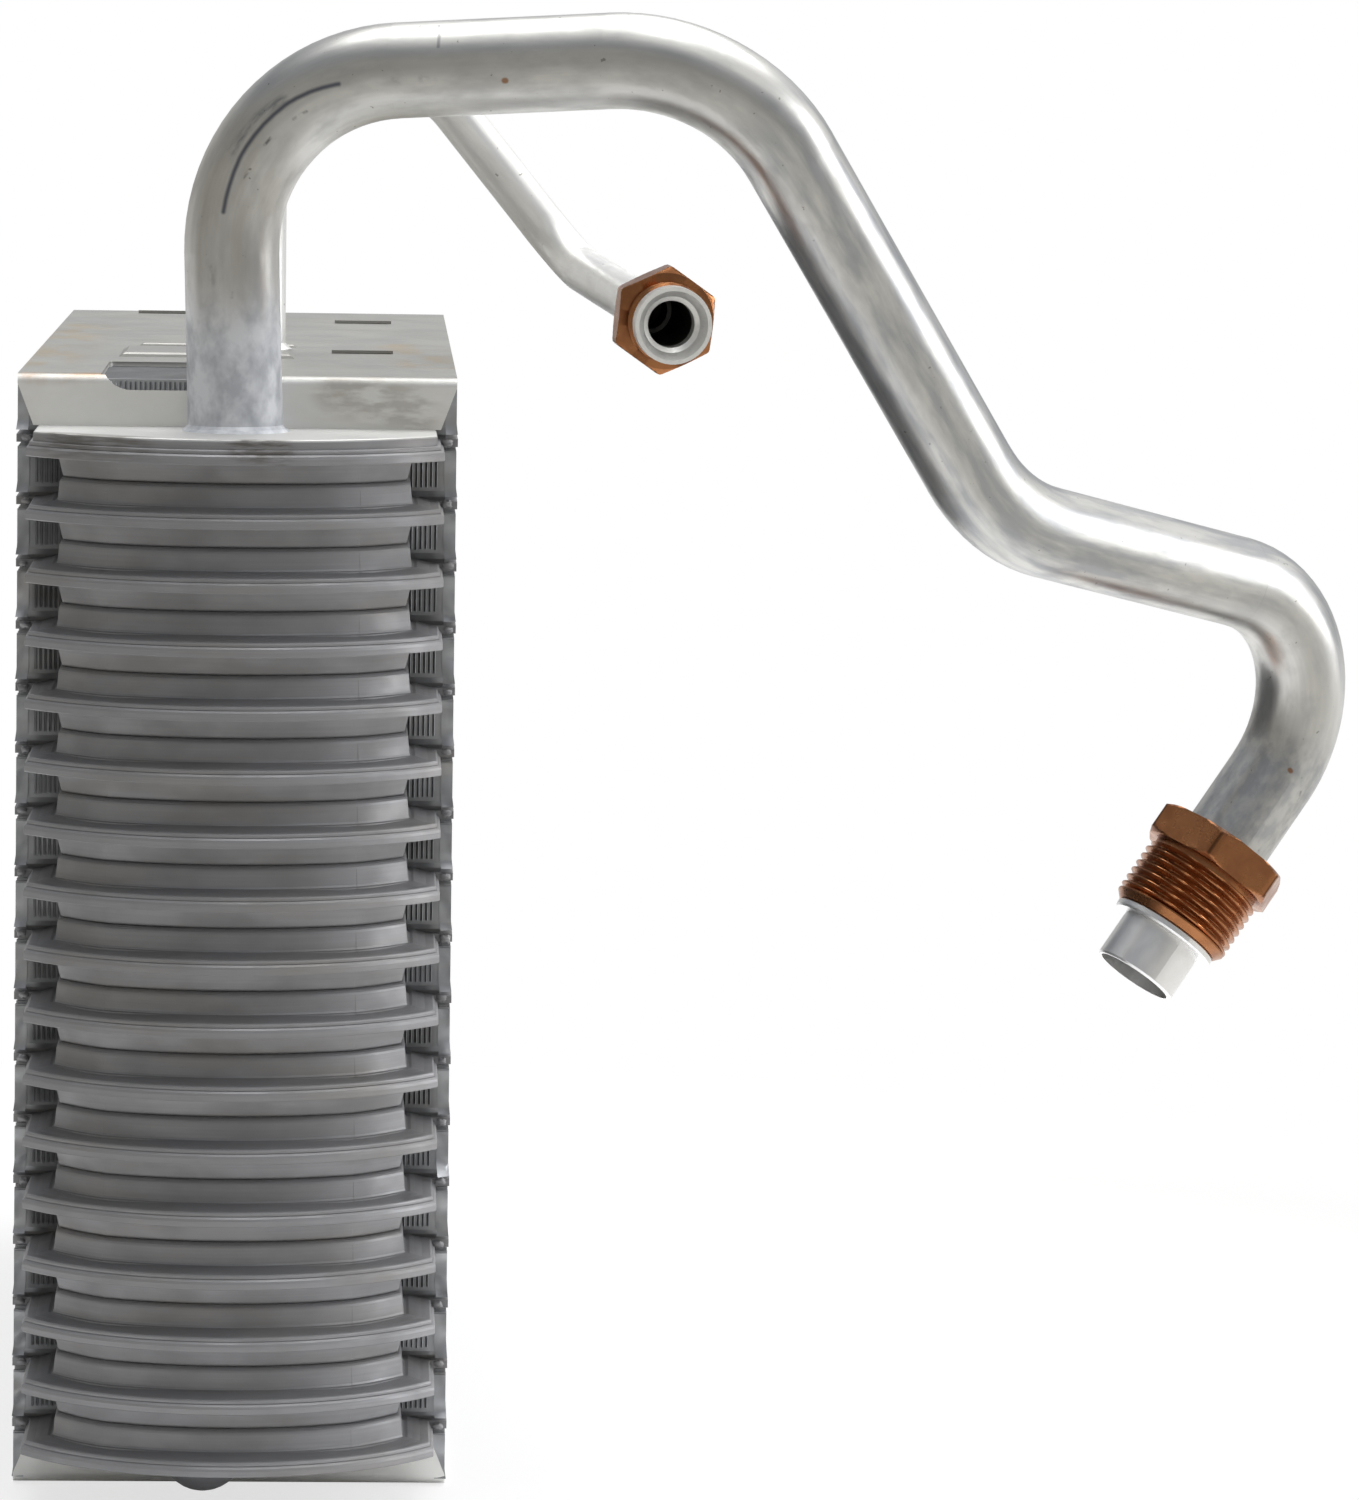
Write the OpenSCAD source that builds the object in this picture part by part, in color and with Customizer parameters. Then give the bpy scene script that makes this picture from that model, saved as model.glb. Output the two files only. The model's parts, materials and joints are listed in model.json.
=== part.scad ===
// Laminated evaporator core of a vehicle air conditioner.
// Drawn tube plates are brazed in pairs, with a folded fin on each side of every pair, and the drawn
// cups at the ends of the plates join into a tank at the front and one at the back.
// Origin: middle of the bottom end plate's underside. +Z runs up the stack, and -Y faces the pipes' tank.

/* [Core] */
// Width of the fins and end plates, along the air's way
core_w = 88.9; // [60:0.1:140]
// Length of the fins from one tank to the other
core_l = 263; // [150:1:400]
// Number of tube plate pairs
pairs = 17; // [3:1:17]
// Height of a fin
fin_h = 9.5; // [6:0.1:14]
// Height of the top fin, under the top end plate
top_fin_h = 10.7; // [6:0.1:14]
// Distance between neighbouring walls of a fin
fold_gap = 2; // [1.4:0.1:5]
// Width of a fin's crest, where it is brazed to a plate
crest_w = 0.8; // [0.5:0.1:1.2]
// Thickness of the fin foil
foil_t = 0.16; // [0.1:0.01:0.4]
// Gap under a fin's first and last wall, where the strip was cut off
cut_off_gap = 1.4; // [0.2:0.1:3]

/* [Tube plates] */
// Thickness of the plates' sheet
sheet_t = 0.8; // [0.4:0.05:0.9]
// Outer thickness of a pair over its passage
pair_t = 3.2; // [2.4:0.1:5]
// How far a pair's brazed rim stands out beside the fins
rim_out = 0.3; // [0:0.05:2]
// Width of the brazed rim
rim_w = 2.5; // [1.5:0.1:5]
// How far the passage's ends lie behind the fins' first and last walls
setback = 1.2; // [0:0.1:3]

/* [Tanks] */
// Half of the tanks' width at the brazed rim
tank_half_w = 41.2; // [38:0.1:44]
// How far the rim stands out beyond the fins
tank_reach = 39.9; // [34:0.1:46]
// Radius of the rim's round front
tank_r = 52; // [46:0.1:80]
// How much further the lower plate's lip stands out
lip_out = 0.7; // [0.2:0.05:1.2]
// How far that lip turns down below the seam
lip_drop = 2.2; // [1.4:0.1:3]
// Half of the cups' width at their foot
cup_half_w = 36; // [30:0.1:37.5]
// How far the cups' foot stands out beyond the fins
cup_reach = 35; // [30:0.1:36]
// Radius of the cups' round front
cup_r = 59.2; // [50:0.1:90]
// Radius of the cups' shoulders beside that front
shoulder_r = 43.9; // [40:0.1:50]
// How far the shoulders' circle would stand out at its middle
shoulder_reach = 37.4; // [36.5:0.1:40]
// Radius of the bend at a cup's foot
cup_foot_r = 0.6; // [0.3:0.05:1]
// Lean of an upper cup's wall
upper_lean = 5; // [0:0.5:10]
// Lean of a lower cup's wall
lower_lean = 14; // [0:0.5:16]
// Radius of an upper cup's rounded edge
upper_edge_r = 1.3; // [0.6:0.1:2]
// Radius of a lower cup's rounded edge
lower_edge_r = 0.7; // [0.4:0.1:1.2]
// Width of the brazed land round a cup's port
port_land = 4; // [2:0.1:8]
// Gap between a cup's back and the fins
cup_back_gap = 2; // [1:0.1:4]
// Height of the closed cover on the first plate
top_cover_h = 2.8; // [2.4:0.1:5]
// Depth of the closed cover under the last plate
bottom_cover_h = 2.4; // [2:0.1:4]
// Radius of the domed boss under the last plate
boss_r = 8.6; // [5:0.1:12]
// How far the boss stands below the last plate's seam
boss_drop = 9.2; // [6:0.1:10]
// Place of the boss across the tank
boss_x = -5; // [-20:0.5:20]

/* [End plates] */
// Thickness of the end plates
end_t = 1; // [0.8:0.1:2]
// Outer radius of the bend into the end plates' flanges
bend_r = 2; // [1.8:0.1:4]
// How far a flange is cut in on each side at its free edge
flange_taper = 3.2; // [0:0.1:6]
// Left end of the opening behind the suction pipe
window_left = -27.6; // [-35:0.1:-14]
// Right end of the opening
window_right = 6.8; // [0:0.1:20]
// How far the opening runs back over the fins
window_back = 44; // [20:1:60]
// How far the opening runs down the front flange
window_drop = 3.2; // [2.5:0.1:6]
// Radius of the opening's lower corners
window_corner_r = 6; // [4:0.1:8]
// Height of the pressed pad round the liquid pipe and of the rib behind it
pad_h = 1; // [0.4:0.1:2]
// Height of the small lanced tongues
tongue_h = 0.7; // [0.4:0.1:2]
// Length of the tongues
tongue_l = 12.6; // [6:0.1:20]
// Distance from the fins' back end to the last tongue
last_tongue_back = 13; // [8:0.5:30]
// Distance from the middle of the core to the second tongue
second_tongue_back = 82.5; // [40:0.5:100]
// How far the pad reaches in front of the liquid pipe
pad_front = 21; // [15:0.5:30]
// How far the pad reaches behind the liquid pipe
pad_back = 7.5; // [7:0.1:12]
// Distance from the liquid pipe back to the rib
rib_back = 22; // [14:0.5:30]
// Width of the rib
rib_w = 5; // [4:0.1:8]

/* [Suction pipe] */
// Outer diameter of the suction pipe
suction_d = 19.05; // [12:0.05:22]
// Wall of the suction pipe
suction_wall = 1.25; // [0.8:0.05:2.5]
// Distance from the fins' front to the suction pipe's foot
suction_front = 11; // [10.5:0.5:24]
// Place of the foot across the core
suction_x = -0.2; // [-10:0.1:10]
// Length of the upright leg
riser_l = 70.6; // [60:0.1:120]
// How far the top of that leg lies to the left of its foot
riser_lean = 2; // [0:0.1:6]
// Length of the leg across the top
run_l = 102.5; // [85:0.5:160]
// Heading of that leg, from +X towards +Y
run_heading = -12.4; // [-30:0.1:30]
// Slope of that leg
run_slope = 3.5; // [-5:0.1:10]
// Length of the leg that comes down
drop_l = 117; // [80:0.5:160]
// Heading of the leg that comes down
drop_heading = 33.3; // [10:0.1:50]
// Slope of the leg that comes down
drop_slope = -53.7; // [-65:0.1:-40]
// Length of the flatter leg
outlet_l = 110.2; // [90:0.5:140]
// Heading of the flatter leg
outlet_heading = 34.6; // [10:0.1:50]
// Slope of the flatter leg
outlet_slope = -13.1; // [-25:0.1:0]
// Length of the last leg, up to the pipe's mouth
mouth_l = 94.4; // [90:0.5:120]
// Heading of the last leg
mouth_heading = 200.5; // [180:0.1:220]
// Slope of the last leg
mouth_slope = -52.8; // [-65:0.1:-40]
// Outer diameter of the plain spigot at the mouth
spigot_d = 18.3; // [17:0.05:19]
// Length of the spigot
spigot_l = 10.5; // [6:0.1:16]
// Diameter of the bead behind the spigot
suction_bead_d = 23.7; // [21:0.1:26]
// Width of the bead
suction_bead_w = 1.8; // [1:0.1:4]

/* [Suction nut] */
// Width across flats
suction_flats = 28.6; // [26:0.1:34]
// Length of the hexagon
suction_hex_l = 7.2; // [4:0.1:12]
// Outer diameter of the thread
suction_thread_d = 26.9; // [24:0.1:28]
// Length of the threaded part
suction_thread_l = 15; // [8:0.1:20]
// Turn of the hexagon about the pipe
suction_hex_turn = 33; // [0:1:60]

/* [Liquid pipe] */
// Outer diameter of the liquid pipe
liquid_d = 9.525; // [6:0.005:12]
// Wall of the liquid pipe
liquid_wall = 0.9; // [0.6:0.05:1.5]
// Distance from the fins' front back to the liquid pipe's foot
liquid_back = 84; // [60:1:120]
// Place of the foot across the core
liquid_x = 3.8; // [-10:0.1:20]
// Length of the upright leg above the end plate
stem_l = 57.8; // [40:0.1:90]
// Length of the leg across
across_l = 36; // [28:0.5:60]
// Length of the leg that comes down
slant_l = 49; // [36:0.5:80]
// Slope of the leg that comes down
slant_slope = -51; // [-70:0.5:-30]
// Length of the last leg, up to the mouth
feed_l = 125; // [80:1:150]
// Heading of the last leg
feed_heading = -82.7; // [-100:0.1:-60]
// Slope of the last leg
feed_slope = -3; // [-15:0.1:15]
// Outer diameter of the widened end
socket_d = 10.6; // [10:0.1:14]
// Length of the widened end
socket_l = 40; // [36:0.5:60]
// Inner radius of the mouth
mouth_r = 4.7; // [4:0.05:5]
// Depth of the mouth, down to the tube's own bore
socket_depth = 30; // [8:0.5:34]
// Diameter of the bead at the mouth
liquid_bead_d = 15.4; // [14:0.1:18]
// Width of that bead
liquid_bead_w = 3.5; // [2.5:0.1:6]

/* [Liquid nut] */
// Width across flats
liquid_flats = 19.05; // [17:0.05:24]
// Length of the hexagon
liquid_hex_l = 6; // [4:0.1:10]
// Outer diameter of the thread
liquid_thread_d = 15.875; // [14:0.005:16.5]
// Length of the threaded part
liquid_thread_l = 5.5; // [3:0.1:12]
// Turn of the hexagon about the pipe
liquid_hex_turn = 25; // [0:1:60]

/* [Fits] */
// Clearance round a pipe in its hole
pipe_gap = 0.1; // [0.05:0.05:0.3]
// Clearance between a nut and its pipe
nut_gap = 0.3; // [0.1:0.05:0.6]
// Height of the braze fillet at a pipe's foot
fillet_h = 1.4; // [0.5:0.1:3]
// Radius of the pipe bender's large former
former_r = 36; // [30:0.5:38]
// Radius of the former for the last bend
tight_former_r = 28; // [24:0.5:30]
// Radius of the liquid pipe's bends
liquid_former_r = 14; // [10:0.5:16]

/* [Hidden] */
pitch = fin_h + pair_t;
stack_h = 2 * end_t + top_fin_h + pairs * (fin_h + pair_t);
front_y = -core_l / 2;
plate_w = core_w + 2 * rim_out;
cup_h = pitch / 2;
lip_r = 1;
rim_slope = 4.6;
seat_w = 2.6;
cover_step = 0.8;
flange_gap = 0.2;
flange_y = core_l / 2 + flange_gap + end_t;
top_cover_z = stack_h - end_t - top_fin_h - pair_t / 2 + top_cover_h;
bottom_cover_z = end_t + fin_h + pair_t / 2 - bottom_cover_h;
lap = 0.3;
skin = 0.02;
pipe_depth = 1.5;
arc_steps = 4;
round_fn = 96;
$fn = round_fn;

function two_digits(i) = str(i < 10 ? "0" : "", i);
function seam_z(i) = stack_h - end_t - top_fin_h - pair_t / 2 - (i - 1) * pitch;
function fin_height(i) = i == 1 ? top_fin_h : fin_h;
function fin_z(i) = stack_h - end_t - top_fin_h - (i - 1) * pitch;

// Section from start out to a wall at x: the wall's points are offsets from x, and heights
function walled(start, x, wall) = concat(
    [[start, wall[0][1]]],
    [for (p = wall) [x + p[0], p[1]]],
    [[start, wall[len(wall) - 1][1]]]
);
function mirrored(points) = [for (k = [len(points) - 1:-1:0]) [-points[k][0], points[k][1]]];

// Straight run with the wall on both sides, from front to back
module straight_form(half_w, front, back, wall) {
    side = [for (p = wall) [half_w + p[0], p[1]]];
    translate([0, back, 0]) rotate([90, 0, 0])
        linear_extrude(back - front)
            polygon(concat(mirrored(side), side));
}

// Everything in front of a back wall
module before_back(back, wall) {
    translate([-core_w, 0, 0]) rotate([90, 0, 90])
        linear_extrude(2 * core_w) polygon(walled(front_y - 2 * tank_reach, back, wall));
}

// Solid with the outline of a tank's rim grown by out, with the same wall all round
module rim_form(out, back, wall) {
    intersection() {
        translate([0, front_y - tank_reach + tank_r, 0])
            rotate_extrude() polygon(walled(0, tank_r + out, wall));
        straight_form(tank_half_w + out, front_y - 2 * tank_reach, back + 1, wall);
        before_back(back, wall);
    }
}

// Solid with the outline of a cup: a wide round front, rounder shoulders and straight sides
module cup_form(wall) {
    back = front_y - cup_back_gap;
    intersection() {
        translate([0, front_y - cup_reach + cup_r, 0])
            rotate_extrude() polygon(walled(0, cup_r, wall));
        translate([0, front_y - shoulder_reach + shoulder_r, 0])
            rotate_extrude() polygon(walled(0, shoulder_r, wall));
        straight_form(cup_half_w, front_y - 2 * tank_reach, back + 1, wall);
        before_back(back, wall);
    }
}

// Walls, from low to high: offsets from the outline, and heights above the seam
function upper_rim_wall() =
    let (rise = pair_t / 2 - sheet_t)
    [
        [0, 0],
        [0, 0.55 * sheet_t],
        [-0.1, 0.82 * sheet_t],
        [-0.35, sheet_t],
        [-0.45 * rim_slope, sheet_t + 0.15 * rise],
        [-0.78 * rim_slope, sheet_t + 0.6 * rise],
        [-rim_slope, pair_t / 2]
    ];
function lip_wall() = concat(
    [for (a = [0:30:90]) lip_r * [sin(a) - 1, 1 - cos(a)]],
    [[0, lip_drop - 0.2], [-0.2, lip_drop]]
);
function channel_wall() = [
    [-rim_slope - lip_out, pair_t / 2],
    [-sheet_t - 0.5, lip_r + 0.05],
    [-sheet_t, lip_r + 0.4],
    [-sheet_t, lip_drop + 1]
];
function cup_wall(lean, edge_r, t = 0) =
    let (
        foot = [-cup_foot_r * cos(lean) - t / cos(lean), pair_t / 2 + cup_foot_r * (1 - sin(lean))],
        r = max(0.2, edge_r - t),
        centre_z = cup_h - t - r,
        centre_x = foot[0] - (centre_z - foot[1]) * tan(lean) - r / cos(lean)
    )
    concat(
        t > 0 ? [[foot[0] + (foot[1] + lap) * tan(lean), -lap]] : [[0, pair_t / 2 - lap]],
        t > 0 ? [] : [
            for (k = [0:2])
                let (a = (90 - lean) * k / 2)
                [-cup_foot_r * sin(a), pair_t / 2 + cup_foot_r * (1 - cos(a))]
        ],
        [
            for (k = [0:arc_steps])
                let (a = lean + (90 - lean) * k / arc_steps)
                [centre_x + r * cos(a), centre_z + r * sin(a)]
        ]
    );
function cover_wall(cover_h, t = 0) =
    let (x = -cover_step - t, top_z = cover_h - t)
    [
        [x, t > 0 ? -1 : 0],
        [x, top_z - 0.5],
        [x - 0.15, top_z - 0.15],
        [x - 0.5, top_z]
    ];

module both_ends() {
    for (turn = [0, 180]) rotate(turn) children();
}

// Brazed rim of an upper plate round its tanks, rising to the height of the passage
module upper_rim() {
    rim_form(0, front_y + 2 * rim_slope, upper_rim_wall());
}

// Rim of a lower plate: it stands out further. Its lip turns away from the seam and ends before the fins.
module lower_rim() {
    difference() {
        rim_form(lip_out, front_y + 2 * rim_slope, lip_wall());
        rim_form(lip_out, front_y + 4 * rim_slope, channel_wall());
        translate([-core_w, front_y - 2 * flange_gap, pair_t / 2])
            cube([2 * core_w, 4 * rim_slope, lip_drop]);
    }
}

// Passage of a plate between its tanks, with its seam at z = 0
module passage_form() {
    linear_extrude(sheet_t)
        square([plate_w, core_l - 2 * setback], center = true);
    linear_extrude(pair_t / 2)
        square([plate_w - 2 * rim_w, core_l - 2 * (setback + rim_w)], center = true);
}

// Hollow between a plate and its seam
module plate_hollow() {
    inset = rim_w + sheet_t;
    rise = pair_t / 2 - sheet_t;
    translate([0, 0, -1])
        linear_extrude(rise + 1)
            square([plate_w - 2 * inset, core_l - 2 * (setback + inset)], center = true);
    both_ends()
        rim_form(0, front_y + 2 * rim_slope, [[-seat_w, -1], [-seat_w, 0], [-rim_slope - lip_out, rise]]);
}

// A drawn plate with an open cup at each end; its rims are the children
module open_plate(lean, edge_r) {
    port_inset = cup_foot_r + edge_r + cup_h * tan(lean) + port_land;
    difference() {
        union() {
            passage_form();
            both_ends() {
                children();
                cup_form(cup_wall(lean, edge_r));
            }
        }
        plate_hollow();
        both_ends() {
            cup_form(cup_wall(lean, edge_r, sheet_t));
            cup_form([[-port_inset, 0], [-port_inset, cup_h + 1]]);
        }
    }
}

// An outer plate: flat covers close its tanks; its rims are the children
module closed_plate(cover_h) {
    back = front_y - flange_gap / 2 + cover_step;
    difference() {
        union() {
            passage_form();
            both_ends() {
                children();
                rim_form(0, back, cover_wall(cover_h));
            }
        }
        plate_hollow();
        both_ends() rim_form(0, back, cover_wall(cover_h, sheet_t));
    }
}

// Hole for a pipe, with its fit
module pipe_hole(x, y, d) {
    translate([x, y, -1]) cylinder(h = cup_h + 2, d = d + 2 * pipe_gap);
}

module first_plate() {
    color("#8f9091") translate([0, 0, seam_z(1)]) difference() {
        closed_plate(top_cover_h) upper_rim();
        pipe_hole(suction_x, front_y - suction_front, suction_d);
        pipe_hole(liquid_x, front_y + liquid_back, liquid_d);
    }
}

// The last plate carries a hollow domed boss under the front tank
module last_plate() {
    color("#8f9091") translate([0, 0, seam_z(pairs)]) mirror([0, 0, 1]) difference() {
        union() {
            closed_plate(bottom_cover_h) lower_rim();
            intersection() {
                boss_ball(boss_r);
                translate([boss_x, boss_y(), bottom_cover_h - sheet_t])
                    cylinder(h = boss_drop, r = boss_r);
            }
        }
        boss_ball(boss_r - sheet_t);
    }
}

function boss_y() = front_y - tank_reach / 2;

module boss_ball(r) {
    translate([boss_x, boss_y(), boss_drop - boss_r]) sphere(r = r);
}

module upper_plate(i) {
    if (i == 1) first_plate();
    else color("#87898b") translate([0, 0, seam_z(i)]) open_plate(upper_lean, upper_edge_r) upper_rim();
}

module lower_plate(i) {
    if (i == pairs) last_plate();
    else color("#7d7f81") translate([0, 0, seam_z(i)]) mirror([0, 0, 1])
        open_plate(lower_lean, lower_edge_r) lower_rim();
}

// Middle line of a fin: leaning walls joined by flat crests; both end walls stop short of the plate below
fold_count = 2 * floor(core_l / fold_gap / 2) + 1;
fold_step = core_l / fold_count;
function fold_line(h) = [
    for (k = [0:fold_count], side = [0, 1])
        let (
            at_end = k == 0 || k == fold_count,
            half_crest = at_end ? 0 : (fold_step - crest_w) / 2,
            free_end = (k == 0 && side == 0) || (k == fold_count && side == 1),
            low = (k + side) % 2 == 0
        )
        [
            k * fold_step + (side == 0 ? -half_crest : half_crest),
            free_end ? cut_off_gap : low ? foil_t / 2 : h - foil_t / 2
        ]
];

// One side of the foil, half a thickness from the middle line
function foil_side(line, d) = [
    for (k = [0:len(line) - 1])
        let (
            before = unit2(k == 0 ? line[1] - line[0] : line[k] - line[k - 1]),
            after = unit2(k == len(line) - 1 ? line[k] - line[k - 1] : line[k + 1] - line[k]),
            normal = unit2([-before[1] - after[1], before[0] + after[0]]),
            reach = d / max(0.5, normal * [-after[1], after[0]])
        )
        line[k] + reach * normal
];
function unit2(v) = v / norm(v);
function reversed(points) = [for (k = [len(points) - 1:-1:0]) points[k]];

module fin(i) {
    line = fold_line(fin_height(i));
    color("#6f7173") difference() {
        translate([0, front_y, fin_z(i)])
            rotate([90, 0, 90])
                linear_extrude(core_w, center = true)
                    polygon(concat(foil_side(line, foil_t / 2), reversed(foil_side(line, -foil_t / 2))));
        if (i == 1)
            translate([liquid_x, front_y + liquid_back, fin_z(1) - 1])
                cylinder(h = top_fin_h + 2, d = liquid_d + 4 * pipe_gap);
    }
}

// Section of an end plate along the core: flat, with both ends bent down by flange_h
module end_plate_section(flange_h) {
    difference() {
        union() {
            translate([-flange_y, -flange_h]) square([2 * flange_y, flange_h - bend_r]);
            translate([-flange_y + bend_r, -bend_r]) square([2 * (flange_y - bend_r), bend_r]);
            for (side = [-1, 1]) translate([side * (flange_y - bend_r), -bend_r]) circle(r = bend_r);
        }
        inner_r = bend_r - end_t;
        translate([-flange_y + end_t, -flange_h - 1])
            square([2 * (flange_y - end_t), flange_h + 1 - bend_r]);
        translate([-flange_y + bend_r, -bend_r - lap]) square([2 * (flange_y - bend_r), inner_r + lap]);
        for (side = [-1, 1]) translate([side * (flange_y - bend_r), -bend_r]) circle(r = inner_r);
    }
}

// Front view of an end plate: its flanges are cut in towards their free edge
module end_plate_front(flange_h) {
    half_w = core_w / 2;
    polygon([
        [-half_w, 1],
        [half_w, 1],
        [half_w, -bend_r],
        [half_w - flange_taper, -flange_h],
        [half_w - flange_taper, -flange_h - 1],
        [-half_w + flange_taper, -flange_h - 1],
        [-half_w + flange_taper, -flange_h],
        [-half_w, -bend_r]
    ]);
}

module end_plate(flange_h) {
    intersection() {
        rotate([90, 0, 90]) linear_extrude(core_w, center = true) end_plate_section(flange_h);
        rotate([90, 0, 0]) linear_extrude(2 * flange_y + 2, center = true) end_plate_front(flange_h);
    }
}

// Opening through the plate and its front bend, behind the suction pipe
module window_cut() {
    r = window_corner_r;
    back_r = 1.5;
    middle = (window_left + window_right) / 2;
    half_w = (window_right - window_left) / 2;
    translate([middle, -flange_y, 0])
        rotate([90, 0, 0])
            linear_extrude(2 * bend_r, center = true) {
                translate([-half_w + r, -window_drop]) square([2 * (half_w - r), window_drop + 1]);
                for (side = [-1, 1]) translate([side * (half_w - r), r - window_drop]) circle(r = r);
            }
    translate([middle, front_y, -end_t - 1])
        linear_extrude(end_t + 2) {
            translate([-half_w, 0]) square([2 * half_w, window_back - back_r]);
            translate([-half_w + back_r, 0]) square([2 * (half_w - back_r), window_back]);
            for (side = [-1, 1])
                translate([side * (half_w - back_r), window_back - back_r]) circle(r = back_r);
        }
}

// Form pressed up by h: a steep front, a gentler back and sloping ends
module pressed_form(x0, x1, y0, y1, h) {
    end_run = 1.5 * h;
    intersection() {
        translate([0, y1 + 1, 0]) rotate([90, 0, 0]) linear_extrude(y1 - y0 + 2)
            polygon([
                [x0, -end_t],
                [x1, -end_t],
                [x1, 0],
                [x1 - end_run, h],
                [x0 + end_run, h],
                [x0, 0]
            ]);
        translate([x0 - 2, 0, 0]) rotate([90, 0, 90]) linear_extrude(x1 - x0 + 4)
            polygon([
                [y0, -end_t],
                [y1, -end_t],
                [y1, 0],
                [y1 - 3 * h, h],
                [y0 + 2 * h, h],
                [y0 + 0.9 * h, 0.92 * h],
                [y0 + 0.3 * h, 0.55 * h],
                [y0, 0]
            ]);
    }
}

// Hollow under a pressed form, so that the sheet keeps its thickness
module pressed_hollow(x0, x1, y0, y1, h) {
    inset = 0.4;
    translate([0, 0, -end_t]) pressed_form(x0 + inset, x1 - inset, y0 + inset, y1 - inset, h);
}

// Tongue lanced out of the sheet: it rises towards its open front edge at y
module tongue_slot(x, y) {
    translate([x, y - 0.1, -end_t - 1]) cube([tongue_l, 1.9, end_t + 2]);
}

module tongue(x, y) {
    depth = 2;
    t = 0.6 * end_t;
    wall = 0.5;
    translate([x - lap, 0, 0]) rotate([90, 0, 90]) linear_extrude(tongue_l + 2 * lap)
        polygon([
            [y, tongue_h - t],
            [y, tongue_h],
            [y + 0.6, tongue_h],
            [y + depth, 0],
            [y + depth, -t],
            [y + depth - 0.5, -t]
        ]);
    for (end_x = [x - lap, x + tongue_l + lap - wall])
        translate([end_x, 0, 0]) rotate([90, 0, 90]) linear_extrude(wall)
            polygon([[y, -t], [y, tongue_h - t / 2], [y + depth, -t / 2], [y + depth, -t]]);
}

// Places of the tongues: across, and along the core from its middle
tongue_places = [
    [liquid_x + 15, liquid_back + 2 - core_l / 2],
    [liquid_x + 15, second_tongue_back],
    [-liquid_x - 24.4, core_l / 2 - last_tongue_back]
];

module top_end_plate() {
    pad_y0 = front_y + liquid_back - pad_front;
    pad_y1 = front_y + liquid_back + pad_back;
    pad_x0 = window_left + 1.2;
    pad_x1 = liquid_x + 7;
    rib_y = front_y + liquid_back + rib_back;
    rib_h = 0.7 * pad_h;
    color("#a3a29e") translate([0, 0, stack_h]) difference() {
        union() {
            difference() {
                union() {
                    end_plate(stack_h - top_cover_z);
                    pressed_form(pad_x0, pad_x1, pad_y0, pad_y1, pad_h);
                    pressed_form(pad_x0 + 3, pad_x1, rib_y, rib_y + rib_w, rib_h);
                }
                pressed_hollow(pad_x0, pad_x1, pad_y0, pad_y1, pad_h);
                for (p = tongue_places) tongue_slot(p[0], p[1]);
            }
            for (p = tongue_places) tongue(p[0], p[1]);
        }
        window_cut();
        pipe_hole_through(liquid_x, front_y + liquid_back, liquid_d);
    }
}

module pipe_hole_through(x, y, d) {
    translate([x, y, -bend_r - 1]) cylinder(h = bend_r + pad_h + 2, d = d + 2 * pipe_gap);
}

module bottom_end_plate() {
    color("#9b9a96") mirror([0, 0, 1]) end_plate(bottom_cover_z);
}

// Pipes: legs between corner points, with a bend of the former's radius at each corner
function unit(v) = v / norm(v);
function leg(l, heading, slope) = l * [cos(slope) * cos(heading), cos(slope) * sin(heading), sin(slope)];
function chain(start, legs, k = 0) =
    k == len(legs) ? [start] : concat([start], chain(start + legs[k], legs, k + 1));
function into(p, k) = unit(p[k] - p[k - 1]);
function out_of(p, k) = unit(p[k + 1] - p[k]);
function bend_angle(p, k) = acos(into(p, k) * out_of(p, k));
function bend_reach(p, k, r) = r * tan(bend_angle(p, k) / 2);
// The same route with its first and last points moved along the legs
function drawn_out(p, head, tail) = [
    for (k = [0:len(p) - 1])
        k == 0 ? p[0] - head * unit(p[1] - p[0])
        : k == len(p) - 1 ? p[k] + tail * into(p, k)
        : p[k]
];

// Places children with their z axis along a direction
module along(origin, z_axis, turn = 0) {
    x_axis = unit(cross(abs(z_axis[2]) > 0.95 ? [0, 1, 0] : [0, 0, 1], z_axis));
    y_axis = cross(z_axis, x_axis);
    multmatrix([
        [x_axis[0], y_axis[0], z_axis[0], origin[0]],
        [x_axis[1], y_axis[1], z_axis[1], origin[1]],
        [x_axis[2], y_axis[2], z_axis[2], origin[2]],
        [0, 0, 0, 1]
    ])
        rotate(turn) children();
}

module pipe_bend(p, k, former, r) {
    a = into(p, k);
    b = out_of(p, k);
    inward = unit(b - a * (a * b));
    centre = p[k] - a * bend_reach(p, k, former) + inward * former;
    up = cross(-inward, a);
    multmatrix([
        [-inward[0], a[0], up[0], centre[0]],
        [-inward[1], a[1], up[1], centre[1]],
        [-inward[2], a[2], up[2], centre[2]],
        [0, 0, 0, 1]
    ])
        rotate_extrude(angle = bend_angle(p, k)) translate([former, 0]) circle(r = r);
}

// Solid rod along the route; the bends differ from the legs by a skin, so that no faces coincide
module pipe_form(p, formers, r, skin) {
    last = len(p) - 1;
    for (k = [0:last - 1]) {
        a = out_of(p, k);
        start = p[k] + (k == 0 ? 0 : bend_reach(p, k, formers[k]) - lap) * a;
        end = p[k + 1] - (k == last - 1 ? 0 : bend_reach(p, k + 1, formers[k + 1]) - lap) * a;
        along(start, a) cylinder(h = norm(end - start), r = r);
    }
    for (k = [1:last - 1]) pipe_bend(p, k, formers[k], r + skin);
}

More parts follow.
